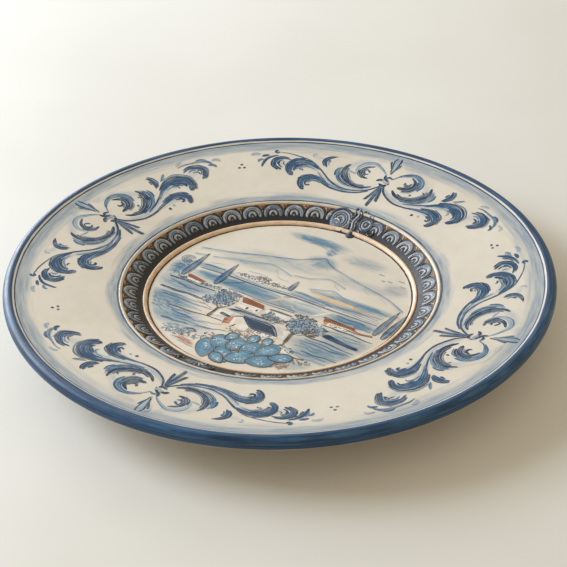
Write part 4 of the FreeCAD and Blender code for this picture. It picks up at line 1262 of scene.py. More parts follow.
def wavy(paint, ink, start, end, width, density=0.9, waves=2.0, swing=0.5, seed=0, feather=0.3):
    """A long stroke that wanders a little on its way."""
    count = 7
    points = []
    for step in range(count):
        share = step / (count - 1)
        sway_y = swing * math.sin(share * waves * math.pi + seed) * math.sin(share * math.pi) ** 0.5
        x = start[0] + (end[0] - start[0]) * share
        y = start[1] + (end[1] - start[1]) * share + sway_y
        points.append((x, y, width * (0.55 + 0.45 * math.sin(math.pi * min(1, share * 1.2 + 0.1)))))
    paint.line(ink, points, density, feather)


def speckle(paint, inks, centre, reach, count, size, seed, density=0.9):
    """Short dabs scattered in an oval."""
    chance = np.random.default_rng(seed)
    for step in range(count):
        angle = chance.uniform(0, TURN)
        share = math.sqrt(chance.uniform(0, 1))
        x = centre[0] + reach[0] * share * math.cos(angle)
        y = centre[1] + reach[1] * share * math.sin(angle)
        lean = chance.uniform(0, math.pi)
        length = size * chance.uniform(0.5, 1.4)
        bow = chance.uniform(-0.4, 0.4) * length
        dx, dy = math.cos(lean) * length / 2, math.sin(lean) * length / 2
        middle = (x - bow * math.sin(lean), y + bow * math.cos(lean), size * 0.42)
        ink = inks[step % len(inks)]
        paint.line(ink, [(x - dx, y - dy, size * 0.3), middle, (x + dx, y + dy, size * 0.3)], density, 0.2)


def sky_and_mountain():
    clouds = picture(0)
    for start, end, width, density in (
            ((-22, 59.6), (-8, 62.0), 3.4, 0.45), ((-15, 62.2), (-2, 60.6), 2.6, 0.60),
            ((-6, 60.6), (10, 58.8), 3.0, 0.40), ((3.2, 50.5), (2.0, 57.5), 2.2, 0.55),
            ((1.0, 55), (-8, 60), 2.6, 0.40), ((5, 54), (12, 60), 2.4, 0.30),
            ((-13, 61.6), (-10, 61.8), 1.4, 0.85), ((3.6, 52.4), (4.4, 54.0), 1.3, 0.75),
            ((18, 50), (30, 55), 3.2, 0.22), ((22, 55), (38, 52), 3.2, 0.20),
            ((50, 35.4), (62, 37.4), 3.0, 0.22), ((-30, 62), (-22, 59), 3.0, 0.22)):
        wavy(clouds, MID_BLUE, start, end, width, density * 0.95, feather=0.95)
    finish_picture(clouds, "clouds", "pale_cobalt")

    ridges = picture(1)
    left = [(-70, 20), (-58, 23), (-45, 26.6), (-30, 32), (-20, 35), (-10, 38.6), (-3, 43.6), (3.6, 47.6)]
    right = [(3.0, 47.4), (8, 44), (14, 40.6), (24, 37.4), (34, 34.2), (46, 31), (58, 27.6), (66, 23.6),
             (72, 20.2)]
    for outline, tone in ((left, 0.8), (right, 0.7)):
        ridges.line(PALE_BLUE, [(x, y - 0.9, 2.6) for x, y in outline], 0.5, 0.85)
        ridges.line(MID_BLUE, [(x, y, 0.8 + 0.5 * math.sin(x / 9) ** 2) for x, y in outline], tone, 0.35)
    ridges.line(MID_BLUE, [(-8, 39.4, 0.5), (-1, 44, 1.0), (3.6, 47.4, 1.2), (8, 43.8, 1.0), (15, 40, 0.5)],
                0.9, 0.3)
    for outline in (
            [(-58, 14.5), (-46, 18.8), (-35, 21.2), (-27, 24), (-20.5, 25.4), (-12, 23.2), (-4, 20.4)],
            [(-4, 22), (6, 23.5), (12, 26.6), (18, 28.8), (26, 26.6), (31, 24.8)],
            [(-70, 12.6), (-65, 13.8), (-60, 15.4)], [(-58, 15.2), (-50, 17), (-42, 19.4), (-35, 18.6)],
            [(12, 14), (20, 17), (26.5, 18.8), (34, 16), (44, 14.2), (56, 13), (66, 12.6)]):
        ridges.line(PALE_BLUE, [(x, y - 0.8, 1.9) for x, y in outline], 0.5, 0.85)
        ridges.line(MID_BLUE, [(x, y, 0.7) for x, y in outline], 0.65, 0.4)
    for number, (start, end) in enumerate((
            ((-2, 42), (-9, 33)), ((3, 45), (0, 36)), ((7, 43), (12, 35)), ((-12, 36), (-22, 30)),
            ((18, 38), (26, 31)), ((-30, 30), (-40, 24)), ((36, 32), (46, 26)), ((-18, 24), (-12, 17)),
            ((22, 26), (28, 21)), ((50, 29), (60, 22)))):
        wavy(ridges, PALE_BLUE, start, end, 1.6, 0.35, seed=number, feather=0.95)
    finish_picture(ridges, "mountain_ridges", "pale_cobalt")


def hills():
    bands = picture(1)
    rows = [
        ((6, 7.4), (34, 4.6), 1.5, MID_BLUE, 0.8), ((8, 8.4), (28, 6.4), 0.8, MID_BLUE, 0.7),
        ((5, 4.6), (40, 3.2), 1.0, MID_BLUE, 0.75), ((34, 5.6), (66, 7.8), 1.3, MID_BLUE, 0.8),
        ((40, 8.0), (64, 8.6), 0.9, PALE_BLUE, 0.7), ((44, 6.4), (64, 5.4), 0.8, MID_BLUE, 0.7),
        ((38, 4.6), (66, 4.0), 0.9, GREY_BLUE, 0.8), ((40, 3.0), (66, 2.4), 0.9, MID_BLUE, 0.75),
        ((26, 16.6), (66, 11.6), 1.6, PALE_BLUE, 0.7), ((30, 15), (64, 10.6), 1.2, MID_BLUE, 0.6),
        ((34, 13.0), (62, 9.6), 1.0, PALE_BLUE, 0.7), ((12, 13.2), (32, 12.0), 1.2, PALE_BLUE, 0.6),
        ((14, 11.4), (40, 10.0), 1.0, SAND, 0.9), ((22, 9.6), (52, 9.0), 1.2, SAND, 0.9),
        ((46, 7.4), (64, 6.8), 0.8, OCHRE, 0.4), ((-70, 12.6), (-61, 14.8), 1.0, MID_BLUE, 0.8),
        ((-56, 8.6), (-46, 10.2), 0.8, PALE_BLUE, 0.7), ((-30, 12.0), (-16, 12.6), 0.9, PALE_BLUE, 0.7),
        ((-58, 3.0), (-44, 3.4), 1.0, PALE_BLUE, 0.7), ((-57.5, 5.0), (-42.5, 6.2), 1.5, COBALT, 0.95),
        ((-36, 3.6), (-4, 4.2), 0.8, MID_BLUE, 0.6), ((-12, 15.4), (-2, 13.4), 0.8, PALE_BLUE, 0.6),
        ((44, 10.4), (66, 9.4), 0.9, PALE_BLUE, 0.7),
    ]
    for number, (start, end, width, ink, density) in enumerate(rows):
        wavy(bands, ink, start, end, width, density, seed=number, swing=0.35)
    speckle(bands, (UMBER, DEEP_COBALT, GREY_BLUE, COBALT), (-20, 7.0), (15.5, 2.3), 110, 1.5, 3)
    speckle(bands, (DEEP_COBALT, UMBER), (-17, 9.4), (5, 1.8), 34, 1.3, 4)
    speckle(bands, (DEEP_COBALT, COBALT), (-4, 7.6), (5, 1.8), 30, 1.2, 5)
    speckle(bands, (COBALT, MID_BLUE), (-69, -1), (3.4, 7), 34, 1.5, 6)
    bands.line(DEEP_COBALT, [(-20, 9.2, 0.4), (-18, 10.8, 0.6), (-14, 11.2, 0.6), (-11.5, 9.6, 0.5)], 0.8)
    for reach in (4.4, 3.1, 1.8):
        loop = [(-69.5 + reach * math.cos(a), 5.4 + reach * 0.85 * math.sin(a), 0.8) for a in np.linspace(
            0.3, 6.0, 11)]
        bands.line(COBALT, loop, 0.75, 0.3)
    finish_picture(bands, "hill_bands", "pale_cobalt")


def fields():
    wash = picture(0)
    for number, (start, end, width, density) in enumerate(
            (
            ((-56, -3), (-42, -3), 6, 0.4), ((-36, -7), (-12, -5), 4, 0.4), ((-30, -3), (-6, -8), 5, 0.35),
            ((-20, -1), (2, -2), 2.4, 0.5), ((10, -2), (30, -1.6), 2.4, 0.35),
            ((40, -3.0), (64, -3.2), 2.2, 0.45), ((40, -6), (66, -6.2), 1.8, 0.45),
            ((-72, -10), (-66, -2), 4, 0.3), ((46, -38), (64, -33), 4, 0.35),
            ((-66, -36), (-44, -37), 4, 0.35), ((42, -44), (62, -40), 3.4, 0.35))):
        wavy(wash, MID_BLUE, start, end, width, density * 1.2, seed=number, feather=0.95)
    wash.blob(SAND, [(-4.4, -10.6), (-2, -10.4), (9.6, 0.2), (8, 0.8), (4, -1.6)], 0.75, 0.5)
    wash.blob(WHITE_SLIP, [(27, -9.6), (29, -9.8), (37.4, -1.6), (35.6, -0.6)], 0.8, 0.5)
    finish_picture(wash, "field_wash", "pale_cobalt")

    rows = picture(2)
    rows.line(COBALT, [(-58, 0.8, 0.8), (-40, 1.6, 1.3), (-25, 1.0, 1.3), (-8, 0.8, 1.2), (10, 1.6, 1.5),
                       (28, 1.0, 1.5), (48, 0.8, 1.2), (66, 0.6, 0.9)], 0.95, 0.25)
    rows.line(MID_BLUE, [(-34, 3.0, 0.6), (-12, 2.2, 0.9), (6, 3.4, 0.9), (30, 2.6, 0.7)], 0.8, 0.3)
    rows.line(COBALT, [(-36.4, -6.4, 1.6), (-31, -3.6, 1.4), (-25, 0.6, 1.2)], 0.7, 0.4)
    rows.line(MID_BLUE, [(3.0, -1.0, 0.7), (6.4, 0.4, 1.0), (9.4, 1.6, 0.8)], 0.9)
    long_rows = [
        ((-30, -10.2), (18, -11.0), 0.9, COBALT, 0.8), ((40, -1.8), (60, -2.4), 0.9, COBALT, 0.8),
        ((42, -4.8), (58, -5.4), 0.9, MID_BLUE, 0.9), ((54, -7.0), (66, -7.4), 0.8, COBALT, 0.8),
        ((44, -14.4), (72, -16.0), 1.3, DEEP_COBALT, 0.9), ((40, -17.6), (66, -18.4), 0.7, MID_BLUE, 0.7),
        ((-69, -15.8), (-35, -16.6), 1.6, MANGANESE, 0.95),
        ((-66, -18.8), (-50, -20.4), 0.9, MID_BLUE, 0.9), ((-60, -20.6), (-43, -22.0), 1.3, COBALT, 0.9),
        ((-68, -22.4), (-44, -24.0), 0.7, PALE_BLUE, 0.8),
        ((-68, -27.2), (-34, -27.0), 2.1, DEEP_COBALT, 0.9), ((-66, -27.4), (-36, -27.8), 0.8, UMBER, 0.9),
        ((-40, -29.4), (-26, -32.4), 0.6, RUST, 0.8), ((-64, -31.2), (-32, -31.0), 0.8, MID_BLUE, 0.8),
        ((-62, -33.4), (-26, -34.0), 1.3, COBALT, 0.85), ((-60, -36.4), (-34, -37.4), 0.8, MID_BLUE, 0.8),
        ((-56, -39.0), (-30, -38.0), 0.7, PALE_BLUE, 0.9),
        ((-52, -41.8), (-14, -40.4), 1.2, UMBER_DARK, 0.95),
        ((-50, -44.0), (-34, -43.6), 0.8, MID_BLUE, 0.8), ((-47, -45.4), (-26, -47.8), 1.1, COBALT, 0.85),
        ((-44, -48.6), (-20, -47.2), 0.7, MID_BLUE, 0.7), ((-30, -48.4), (-12, -43.6), 0.6, MID_BLUE, 0.7),
        ((-40, -51.2), (-14, -50.2), 0.7, MID_BLUE, 0.75),
        ((-48.5, -54.2), (-30, -53.2), 1.9, COBALT, 0.85), ((-26, -52.8), (-6, -47.8), 0.9, COBALT, 0.8),
        ((-6, -48.0), (16, -49.0), 0.9, MID_BLUE, 0.8), ((-40, -59.0), (-26, -60.2), 0.8, MID_BLUE, 0.7),
        ((-38, -62.4), (-22, -63.2), 0.7, PALE_BLUE, 0.8),
        ((34, -28.4), (68, -30.6), 1.1, DEEP_COBALT, 0.85), ((36, -31.4), (66, -32.6), 0.8, MID_BLUE, 0.8),
        ((34, -34.0), (64, -34.4), 0.9, COBALT, 0.8), ((36, -36.4), (60, -37.6), 0.7, MID_BLUE, 0.8),
        ((34, -39.4), (58, -38.8), 0.7, PALE_BLUE, 0.9), ((40, -42.4), (64, -42.2), 1.1, COBALT, 0.9),
        ((38, -45.0), (58, -44.0), 0.8, MID_BLUE, 0.8), ((42, -48.0), (60, -47.4), 0.8, PALE_BLUE, 0.9),
        ((-70, -8.0), (-64, -12.0), 1.0, MID_BLUE, 0.8), ((-72, -2.0), (-68, -13.0), 0.9, MID_BLUE, 0.7),
        ((-62, -42.6), (-48, -46.2), 0.8, PALE_BLUE, 0.8), ((-58, -45.6), (-46, -50.0), 0.7, MID_BLUE, 0.7),
        ((50, -20.6), (70, -20.8), 0.6, PALE_BLUE, 0.8), ((22, -12.6), (34, -12.6), 0.9, COBALT, 0.8),
    ]
    for number, (start, end, width, ink, density) in enumerate(long_rows):
        wavy(rows, ink, start, end, width, density, waves=3.0, seed=number * 0.8)
    rows.blob(DEEP_COBALT, [(42.6, -22.6), (46, -20.8), (54, -22.6), (62, -24.2), (68.6, -24.8),
                            (68.4, -27.2), (58, -26.6), (48, -25.6), (43, -24.6)], 1.0, 0.2)
    speckle(rows, (MID_BLUE, COBALT, PALE_BLUE), (-34, -61), (10, 4.4), 70, 1.8, 11, 0.75)
    speckle(rows, (MID_BLUE, PALE_BLUE), (-56, -39), (9, 8), 40, 1.6, 12, 0.6)
    speckle(rows, (MANGANESE, COBALT, DEEP_COBALT), (-52, -13.4), (14, 1.5), 70, 1.3, 13)
    speckle(rows, (UMBER_DARK, COBALT, GREY_BLUE), (-33, -13.0), (6, 1.8), 34, 1.2, 14)
    finish_picture(rows, "field_furrows", "cobalt")


def buildings():
    walls = picture(3)
    for corners in (
            [(-58, -11.2), (-47, -12.6), (-47, -14.8), (-58, -13.8)],
            [(-16, -17.4), (0, -18.6), (0, -24.6), (-16, -24)],
            [(1.6, -16), (19, -16.6), (19, -22), (8, -22.4), (1.6, -20)],
            [(37, -10.6), (55, -10.6), (52, -14.4), (39, -14)],
            [(-14, -36), (-6, -31), (3, -38), (2.8, -43), (-13, -42.4)],
            [(3, -37.8), (22, -38), (23, -44), (3, -44.6)], [(22, -44), (36, -45), (36, -50), (23, -49.6)],
            [(-24, -31), (-12, -30.6), (-14, -36), (-24, -38)],
            [(14, -28), (22, -31.6), (26, -31), (27.6, -39), (22, -38), (17, -32)]):
        walls.blob(WHITE_SLIP, corners, 0.9, 0.12, straight=True)
    walls.blob(RUST, [(-15.4, -36.4), (-10.0, -32.8), (-8.8, -41.4), (-13.6, -42.6)], 0.85, 0.3,
               straight=True)
    walls.blob(SAND, [(-8, -33.4), (-3.4, -33.8), (-2.8, -38), (-7.4, -38.6)], 0.5, 0.8)
    walls.blob(RUST, [(3.2, -38.6), (7, -38.6), (6.4, -43.4), (3.4, -43.6)], 0.55, 0.5, straight=True)
    walls.blob(OCHRE, [(36, -10.2), (41, -10.0), (39.6, -14.6), (37.6, -13)], 0.7, 0.4, straight=True)
    walls.blob(GREY_BLUE, [(15, -28), (21, -31), (25, -35), (21.8, -37), (17.6, -32)], 0.35, 0.6)
    for x, y, wide, high in (
            (-8.8, -22.2, 1.7, 2.6), (-2.6, -21.4, 1.5, 2.2), (5.8, -19.6, 1.7, 3.2),
            (45.6, -12.8, 1.6, 1.6), (-52, -12.6, 1.0, 1.2), (42.0, -12.4, 0.8, 1.2),
            (49.0, -12.2, 0.8, 1.2), (10, -42.6, 1.1, 1.3), (28.4, -46.4, 1.2, 1.0),
            (-6.0, -40.8, 1.0, 2.2)):
        walls.line(DEEP_COBALT, [(x, y - high / 2, wide), (x, y, wide), (x, y + high / 2, wide * 0.9)],
                   0.95, 0.2)
    speckle(walls, (UMBER, RUST, COBALT, UMBER_DARK), (12.6, -41.2), (9.6, 3.0), 90, 1.2, 21)
    speckle(walls, (COBALT, MID_BLUE, UMBER), (4, -45.4), (13, 2.4), 70, 1.2, 22)
    speckle(walls, (COBALT, MID_BLUE), (31, -45.6), (7, 2.6), 44, 1.4, 23)
    speckle(walls, (UMBER_DARK, RUST), (46, -12.6), (8, 1.4), 24, 0.9, 24)
    for line in (
            [(-14.2, -36, 0.6), (-6.2, -30.8, 0.7), (3.4, -38.2, 0.7)],
            [(-14, -36.4, 0.5), (-13.2, -42.6, 0.4)], [(3.2, -38.2, 0.5), (3.0, -43.6, 0.4)],
            [(1.6, -22.2, 0.5), (19.2, -22.6, 0.6)], [(-16.2, -24.6, 0.5), (0, -25.4, 0.6)],
            [(37.4, -14.4, 0.5), (54, -14.8, 0.5)], [(-7.4, -43.4, 0.5), (-5.4, -38.8, 0.7)]):
        walls.line(UMBER_DARK, line, 0.9)
    finish_picture(walls, "house_walls", "cream_relief")

    tiles = picture(4)
    for corners in ([(-60.4, -8.8), (-58.6, -8.2), (-45.8, -10.8), (-46.2, -13.2), (-58.4, -11.8)],
                    [(-17.8, -13.4), (-15.4, -12.8), (-1.2, -14.6), (1.2, -18.8), (-14.8, -18.6)],
                    [(34.6, -6.4), (37, -6.8), (57, -8.2), (57.8, -10.4), (38, -10.6), (36.2, -11.2)]):
        tiles.blob(RUST, corners, 1.35, 0.12, straight=True)
    for start, end in (
            ((-16.6, -14.8), (-1.8, -16.4)), ((-15.6, -16.6), (-0.4, -18.0)), ((36, -8.4), (56, -9.6)),
            ((-59, -10.2), (-47, -12.2))):
        wavy(tiles, UMBER, start, end, 0.8, 1.2)
    tiles.line(UMBER_DARK, [(34.6, -7.6, 1.8), (37, -7.2, 1.4), (46, -8.0, 0.7), (57, -8.6, 0.5)], 0.95)
    tiles.line(RUST, [(55, -10.4, 0.8), (62, -11.2, 0.9), (68.6, -9.8, 0.9)], 0.95)
    tiles.line(UMBER, [(50, -11.6, 0.6), (60, -12.2, 0.7), (69, -10.6, 0.7)], 0.9)
    finish_picture(tiles, "tile_roofs", "rust")

    roofs = picture(4)
    roofs.blob(ROOF_BLUE, [(-6.4, -30), (14, -30.4), (21.4, -37.4), (4.2, -38.2)], 1.4, 0.1, straight=True)
    roofs.blob(ROOF_BLUE, [(-20, -33.4), (-18.4, -32.6), (-12, -34.0), (-13, -35.6), (-19.6, -35)], 1.0,
               0.2)
    for number in range(5):
        shift = 2.0 + number * 4.1
        roofs.line(ROOF_SEAM, [(-4.6 + shift, -30.6, 0.4), (1.2 + shift * 0.98, -34.4, 0.5),
                               (5.4 + shift * 0.86, -37.6, 0.5)], 1.3)
    roofs.line(DEEP_COBALT, [(-6.6, -29.8, 0.8), (4, -29.6, 1.1), (14.4, -30.2, 1.0), (21.8, -37.6, 0.9)],
               1.0)
    roofs.line(DEEP_COBALT, [(3.6, -38.4, 0.9), (12, -38.4, 1.0), (21.8, -37.8, 1.2)], 1.0)
    roofs.line(DEEP_COBALT, [(-5.8, -30.4, 1.0), (-1.0, -34.4, 1.2), (4.0, -38.4, 1.1)], 1.0)
    roofs.line(DEEP_COBALT, [(3, -16.6, 1.4), (10, -16.2, 1.8), (19, -16.4, 1.2)], 0.95)
    roofs.line(MANGANESE, [(-12, -12.6, 0.4), (2, -12.8, 0.6), (18, -12.4, 0.5)], 0.7)
    roofs.line(PALE_BLUE, [(-18, -28.2, 0.9), (0, -28.6, 1.2), (14, -27.6, 0.9)], 0.9)
    roofs.blob(DEEP_COBALT, [(-18.6, -27.2), (-12, -25.8), (-2, -25.6), (6, -25.0), (12, -24.4),
                             (17.6, -23.6), (17.4, -25.8), (8, -26.8), (-6, -27.6), (-18.6, -28.6)], 1.0,
               0.2)
    finish_picture(roofs, "cottage_roof", "cobalt")


def trees():
    crowns = picture(5)
    for x, y, wide, high, seed in (
            (-26, -20.6, 8.2, 8.4, 31), (28, -21.6, 9.4, 8.6, 32), (10, -23.6, 7.6, 2.6, 33),
            (38, -21, 5.2, 4.6, 34), (-34, -25, 3.6, 4.0, 35)):
        angles = np.arange(14) * TURN / 14
        lobes = 1 + 0.10 * np.sin(angles * 5 + seed) + 0.06 * np.sin(angles * 8)
        outline = np.column_stack([x + wide * lobes * np.cos(angles), y + high * lobes * np.sin(angles)])
        crowns.blob(CROWN_BLUE, outline, 1.1, 0.6)
        area = int(wide * high * 1.5)
        speckle(crowns, (TURQUOISE, PALE_BLUE, TURQUOISE, GREY_BLUE), (x, y), (wide * 0.92, high * 0.92),
                area, 1.8, seed, 0.8)
        speckle(crowns, (COBALT, DEEP_COBALT, SLATE), (x, y), (wide, high), int(area * 1.7), 1.5, seed + 40,
                1.15)
    speckle(crowns, (DEEP_COBALT, COBALT), (-25, -13.6), (7.5, 2.2), 46, 1.7, 51)
    speckle(crowns, (DEEP_COBALT, UMBER_DARK), (27, -13.8), (8.0, 2.2), 44, 1.6, 52)
    speckle(crowns, (MANGANESE, DEEP_COBALT, UMBER), (36, -25.4), (5.4, 3.2), 60, 1.5, 53)
    speckle(crowns, (MANGANESE, DEEP_COBALT), (10, -24.4), (7.6, 2.2), 60, 1.4, 54)
    for line in (
            [(5, -22.6, 1.0), (5.6, -19.6, 1.8), (5.4, -17.6, 0.8)],
            [(7.6, -22.8, 1.0), (8.0, -20, 1.5), (7.4, -18.0, 0.7)],
            [(40, -16.6, 0.8), (42.4, -19.0, 1.6), (44.4, -18.4, 0.8)]):
        crowns.line(COBALT, line, 0.9)
    finish_picture(crowns, "tree_crowns", "pale_cobalt")

    trunks = picture(6)
    for line in (
            [(-23.8, -29.4, 1.6), (-24.0, -35, 1.9), (-24.8, -40.6, 2.0)],
            [(27.6, -30.4, 1.5), (27.8, -35, 1.8), (28.4, -40.8, 1.9)],
            [(-24.4, -30.4, 0.7), (-27.4, -26.0, 0.6)], [(-23.6, -30.4, 0.7), (-20.4, -27.0, 0.6)],
            [(27.6, -31.4, 0.8), (24.2, -27.6, 0.6)], [(27.8, -31.4, 0.8), (32, -27.8, 0.7)],
            [(28.2, -38.6, 0.8), (28.8, -44.6, 0.8)]):
        trunks.line(UMBER_DARK, line, 0.95)
    trunks.line(UMBER, [(-23.4, -30.2, 0.6), (-23.5, -35, 0.7), (-24.2, -40, 0.6)], 0.9)
    trunks.line(UMBER, [(28.2, -31.2, 0.6), (28.4, -35, 0.7), (29.0, -40, 0.6)], 0.9)
    finish_picture(trunks, "tree_trunks", "manganese")

    tall = picture(6)
    for foot, tip, width in (
            ((-63, -11.4), (-61.4, 16.2), 5.2), ((-40, -10.4), (-39.3, 15.0), 4.8),
            ((2.4, 6.2), (2.6, 17.4), 3.4), ((68.2, -8.6), (70.4, 19.4), 4.6),
            ((74.2, -9.6), (76.0, 18.8), 4.8)):
        foot, tip = np.array(foot), np.array(tip)
        up = tip - foot
        across = np.array([up[1], -up[0]]) / np.linalg.norm(up)
        shares = ((0.0, 0.35), (0.14, 0.85), (0.34, 1.0), (0.55, 0.8), (0.75, 0.45), (0.9, 0.22),
                  (1.0, 0.08))
        tall.line(COBALT, [(*(foot + up * t), width * w) for t, w in shares], 0.95, 0.12)
        for offset, ink, thin in (
                (-0.42, DEEP_COBALT, 0.7), (0.42, DEEP_COBALT, 0.5), (0.14, PALE_BLUE, 0.5),
                (-0.16, DEEP_COBALT, 0.5)):
            tall.line(ink, [(*(foot + up * t + across * width * w * offset), thin) for t, w in shares[:6]],
                      0.85, 0.3)
    finish_picture(tall, "cypresses", "cobalt")


PAD_LENGTH = 1.22        # the pear's pads are this much longer and wider than laid out
PAD_WIDTH = 1.24


def foreground():
    earth = picture(3)
    earth.blob(RUST, [(-33, -66.6), (-26, -64.4), (-20, -64.6), (-14, -67.8), (-13.6, -70.6), (-20, -69.6),
                      (-28, -68.6)], 0.7, 0.6)
    earth.blob(OCHRE, [(35, -54.6), (39, -53.8), (41.4, -57), (38.6, -61.2), (33, -63.4), (32, -60)], 0.5,
               0.7)
    for start, end in (
            ((-32, -67.2), (-16, -67.6)), ((-28, -65.6), (-18, -65.8)), ((-26, -69.2), (-14, -70.4)),
            ((30, -62.4), (40, -58.0)), ((34, -55.0), (42, -52.2))):
        wavy(earth, UMBER, start, end, 0.7, 0.8)
    speckle(earth, (UMBER, RUST, UMBER_DARK, GREY_BLUE), (36, -57.6), (5.6, 6.6), 60, 1.8, 61)
    speckle(earth, (UMBER, RUST, GREY_BLUE), (-13, -57.4), (3.2, 5.6), 34, 1.6, 62)
    speckle(earth, (UMBER, GREY_BLUE, MID_BLUE), (-22, -61.6), (9, 3.0), 44, 1.5, 63)
    speckle(earth, (UMBER_DARK, GREY_BLUE), (44, -52.0), (8, 3.0), 40, 1.6, 64)
    earth.line(UMBER, [(38, -49.6, 0.6), (42, -50.2, 0.9), (47, -49.0, 0.7)], 0.9)
    earth.line(UMBER_DARK, [(-29, -57.2, 0.9), (-25, -55.6, 1.3), (-21.4, -56.4, 0.9)], 0.9)
    earth.line(COBALT, [(-30, -57.4, 1.0), (-25, -57.8, 1.2), (-20.6, -57.0, 0.9)], 0.8)
    finish_picture(earth, "earth_patches", "rust")

    pear = picture(5)
    paddles = [
        (-8.0, -66.6, 7.6, 4.6, 108), (-4.2, -58.2, 5.6, 4.4, 96), (5.4, -56.4, 5.6, 4.4, 84),
        (4.2, -67.4, 6.4, 4.0, 130), (14.6, -55.6, 6.2, 4.2, 70), (14.2, -65.2, 7.4, 4.6, 40),
        (24.6, -52.4, 6.6, 4.2, 62), (26.4, -62.4, 7.2, 4.4, 30), (34.6, -54.6, 5.8, 3.2, 28),
        (3.0, -72.0, 4.6, 3.0, 150), (-0.6, -50.8, 3.6, 2.6, 60), (11.6, -47.0, 3.8, 2.6, 80),
        (20.0, -45.4, 3.4, 2.4, 95),
    ]
    for number, (x, y, long, wide, degrees) in enumerate(paddles):
        lean = math.radians(degrees)
        angles = np.arange(12) * TURN / 12
        u = PAD_LENGTH * long * np.cos(angles)
        v = PAD_WIDTH * wide * np.sin(angles) * (1 + 0.22 * np.cos(angles))
        v = v * (1 - 0.25 * np.abs(np.cos(angles)) ** 3)
        outline = np.column_stack([x + u * math.cos(lean) - v * math.sin(lean),
                                   y + u * math.sin(lean) + v * math.cos(lean)])
        pear.blob(TURQUOISE, outline, 1.15, 0.08)
        loop = [(px, py, 0.8) for px, py in np.vstack([outline, outline[:1]])]
        speckle(pear, (PALE_BLUE, MID_BLUE, WHITE_SLIP, DEEP_TURQUOISE), (x, y), (wide * 0.8, wide * 0.8),
                18, 1.4, 70 + number, 0.7)
        pear.line(UMBER_DARK, loop, 1.05, 0.25)
    pear.dot(DEEP_COBALT, 4.4, -59.8, 2.4, 0.8)
    finish_picture(pear, "prickly_pear", "turquoise")


def birds():
    flock = picture(2)
    for x, y, span in ((56, 47.4, 4.6), (59.4, 42.6, 4.4), (42, 48.2, 3.8), (50, 44.0, 3.6),
                       (46, 42.8, 2.6)):
        flock.line(GREY_BLUE, [(x - span / 2, y + 0.2, 0.45), (x - span / 4, y + 0.9, 0.7), (x, y, 0.6),
                               (x + span / 4, y + 0.7, 0.7), (x + span / 2, y, 0.4)], 0.95)
    finish_picture(flock, "birds", "cobalt")


# ---- stage ----
FLOOR_SIZE = 6.0         # metres
CAMERA_ELEVATION = 32.992
CAMERA_AZIMUTH = 33.0
CAMERA_DISTANCE = 0.930  # metres
CAMERA_PAN = -0.136
CAMERA_TILT = 0.513
CAMERA_ROLL = -1.384
CAMERA_LENS = 103.35     # millimetres, on a sensor 36 mm wide
SENSOR_WIDTH = 36
CAMERA_TARGET_Z = 28.5   # millimetres
LIGHT_TARGET = (0, 0, 0.02)
ROOM_COLOUR = (1.0, 0.875, 0.66, 1)
ROOM_STRENGTH = 0.585


def turning(axis, degrees):
    return Matrix.Rotation(math.radians(degrees), 3, axis)


def camera_axes():
    """Right, forward and up of a camera that looks at the plate from its azimuth and elevation."""
    azimuth = math.radians(CAMERA_AZIMUTH)
    elevation = math.radians(CAMERA_ELEVATION)
    right = Vector((math.cos(azimuth), math.sin(azimuth), 0))
    back = Vector((math.sin(azimuth) * math.cos(elevation), -math.cos(azimuth) * math.cos(elevation),
                   math.sin(elevation)))
    return right, -back, right.cross(-back)


def camera():
    right, forward, up = camera_axes()
    level = Matrix((right, -up, forward))
    aimed = turning("Z", CAMERA_ROLL) @ turning("X", CAMERA_TILT) @ turning("Y", CAMERA_PAN) @ level
    made = bpy.data.objects.new("camera", bpy.data.cameras.new("camera"))
    made.data.lens = CAMERA_LENS
    made.data.sensor_width = SENSOR_WIDTH
    place_matrix = Matrix((aimed[0], -aimed[1], -aimed[2])).transposed().to_4x4()
    place_matrix.translation = Vector((0, 0, CAMERA_TARGET_Z * MM)) - forward * CAMERA_DISTANCE
    made.matrix_world = place_matrix
    bpy.context.collection.objects.link(made)
    bpy.context.scene.camera = made


def aimed_light(name, kind, place_at, target, **settings):
    light = bpy.data.lights.new(name, kind)
    for key, value in settings.items():
        setattr(light, key, value)
    made = bpy.data.objects.new(name, light)
    made.location = place_at
    made.rotation_euler = (Vector(target) - Vector(place_at)).to_track_quat("-Z", "Y").to_euler()
    bpy.context.collection.objects.link(made)
    return made


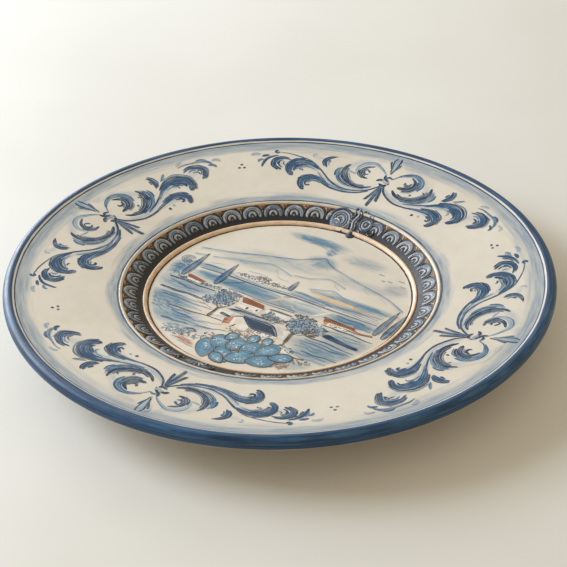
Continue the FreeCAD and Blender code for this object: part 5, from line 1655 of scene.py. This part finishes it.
def lights():
    """Two windows to the left, one of them behind the plate, the gloss that a third one leaves on
    the lip and wall, and a warm room."""
    aimed_light("far_window", "AREA", (-1.335, 0.734, 0.48), LIGHT_TARGET, shape="RECTANGLE", size=0.75,
                size_y=0.85, energy=6.0, color=(0.86, 0.93, 1.0))
    aimed_light("near_window", "AREA", (-1.558, -0.356, 0.90), LIGHT_TARGET, shape="RECTANGLE", size=1.1,
                size_y=0.9, energy=38.0, color=(0.74, 0.86, 1.0))
    sheen = aimed_light("window_sheen", "AREA", (-1.49, 0.54, 0.46), LIGHT_TARGET, shape="RECTANGLE",
                        size=0.7, size_y=0.7, energy=16.0, color=(0.93, 0.95, 1.0))
    sheen.visible_diffuse = False
    world = bpy.data.worlds.new("room")
    world.use_nodes = True
    world.node_tree.nodes["Background"].inputs["Color"].default_value = ROOM_COLOUR
    world.node_tree.nodes["Background"].inputs["Strength"].default_value = ROOM_STRENGTH
    bpy.context.scene.world = world
    bpy.context.scene.view_settings.view_transform = "Standard"


def floor():
    """A wide pale table top with a satin finish."""
    half = FLOOR_SIZE / 2 / MM
    corners = [(-half, -half, -0.05), (half, -half, -0.05), (half, half, -0.05), (-half, half, -0.05)]
    material, g, shader = new_material("pale_table")
    position = g.place()
    tone = g.mix(g.noise(position, 0.004, 3.0), linear(229, 227, 222), linear(222, 219, 213))
    g.link(tone, shader.inputs["Base Color"])
    shader.inputs["Roughness"].default_value = 0.55
    shader.inputs["Specular IOR Level"].default_value = 0.25
    make_object("table_top", corners, [(0, 1, 2, 3)], material, smooth=False)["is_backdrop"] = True


def write_sizes():
    for key, box in (("cad", CAD_BOX), ("visual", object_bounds())):
        [list(map(float, corner)) for corner in box]


def main():
    foot_and_clay()
    front_coat()
    lip_band()
    back_coat()
    line_pieces()
    mouldings()
    frieze()
    top_cartouche()
    bottom_cartouche()
    sprays()
    dot_trios()
    sky_and_mountain()
    hills()
    fields()
    buildings()
    trees()
    foreground()
    birds()
    floor()
    lights()
    camera()


main()
write_sizes()
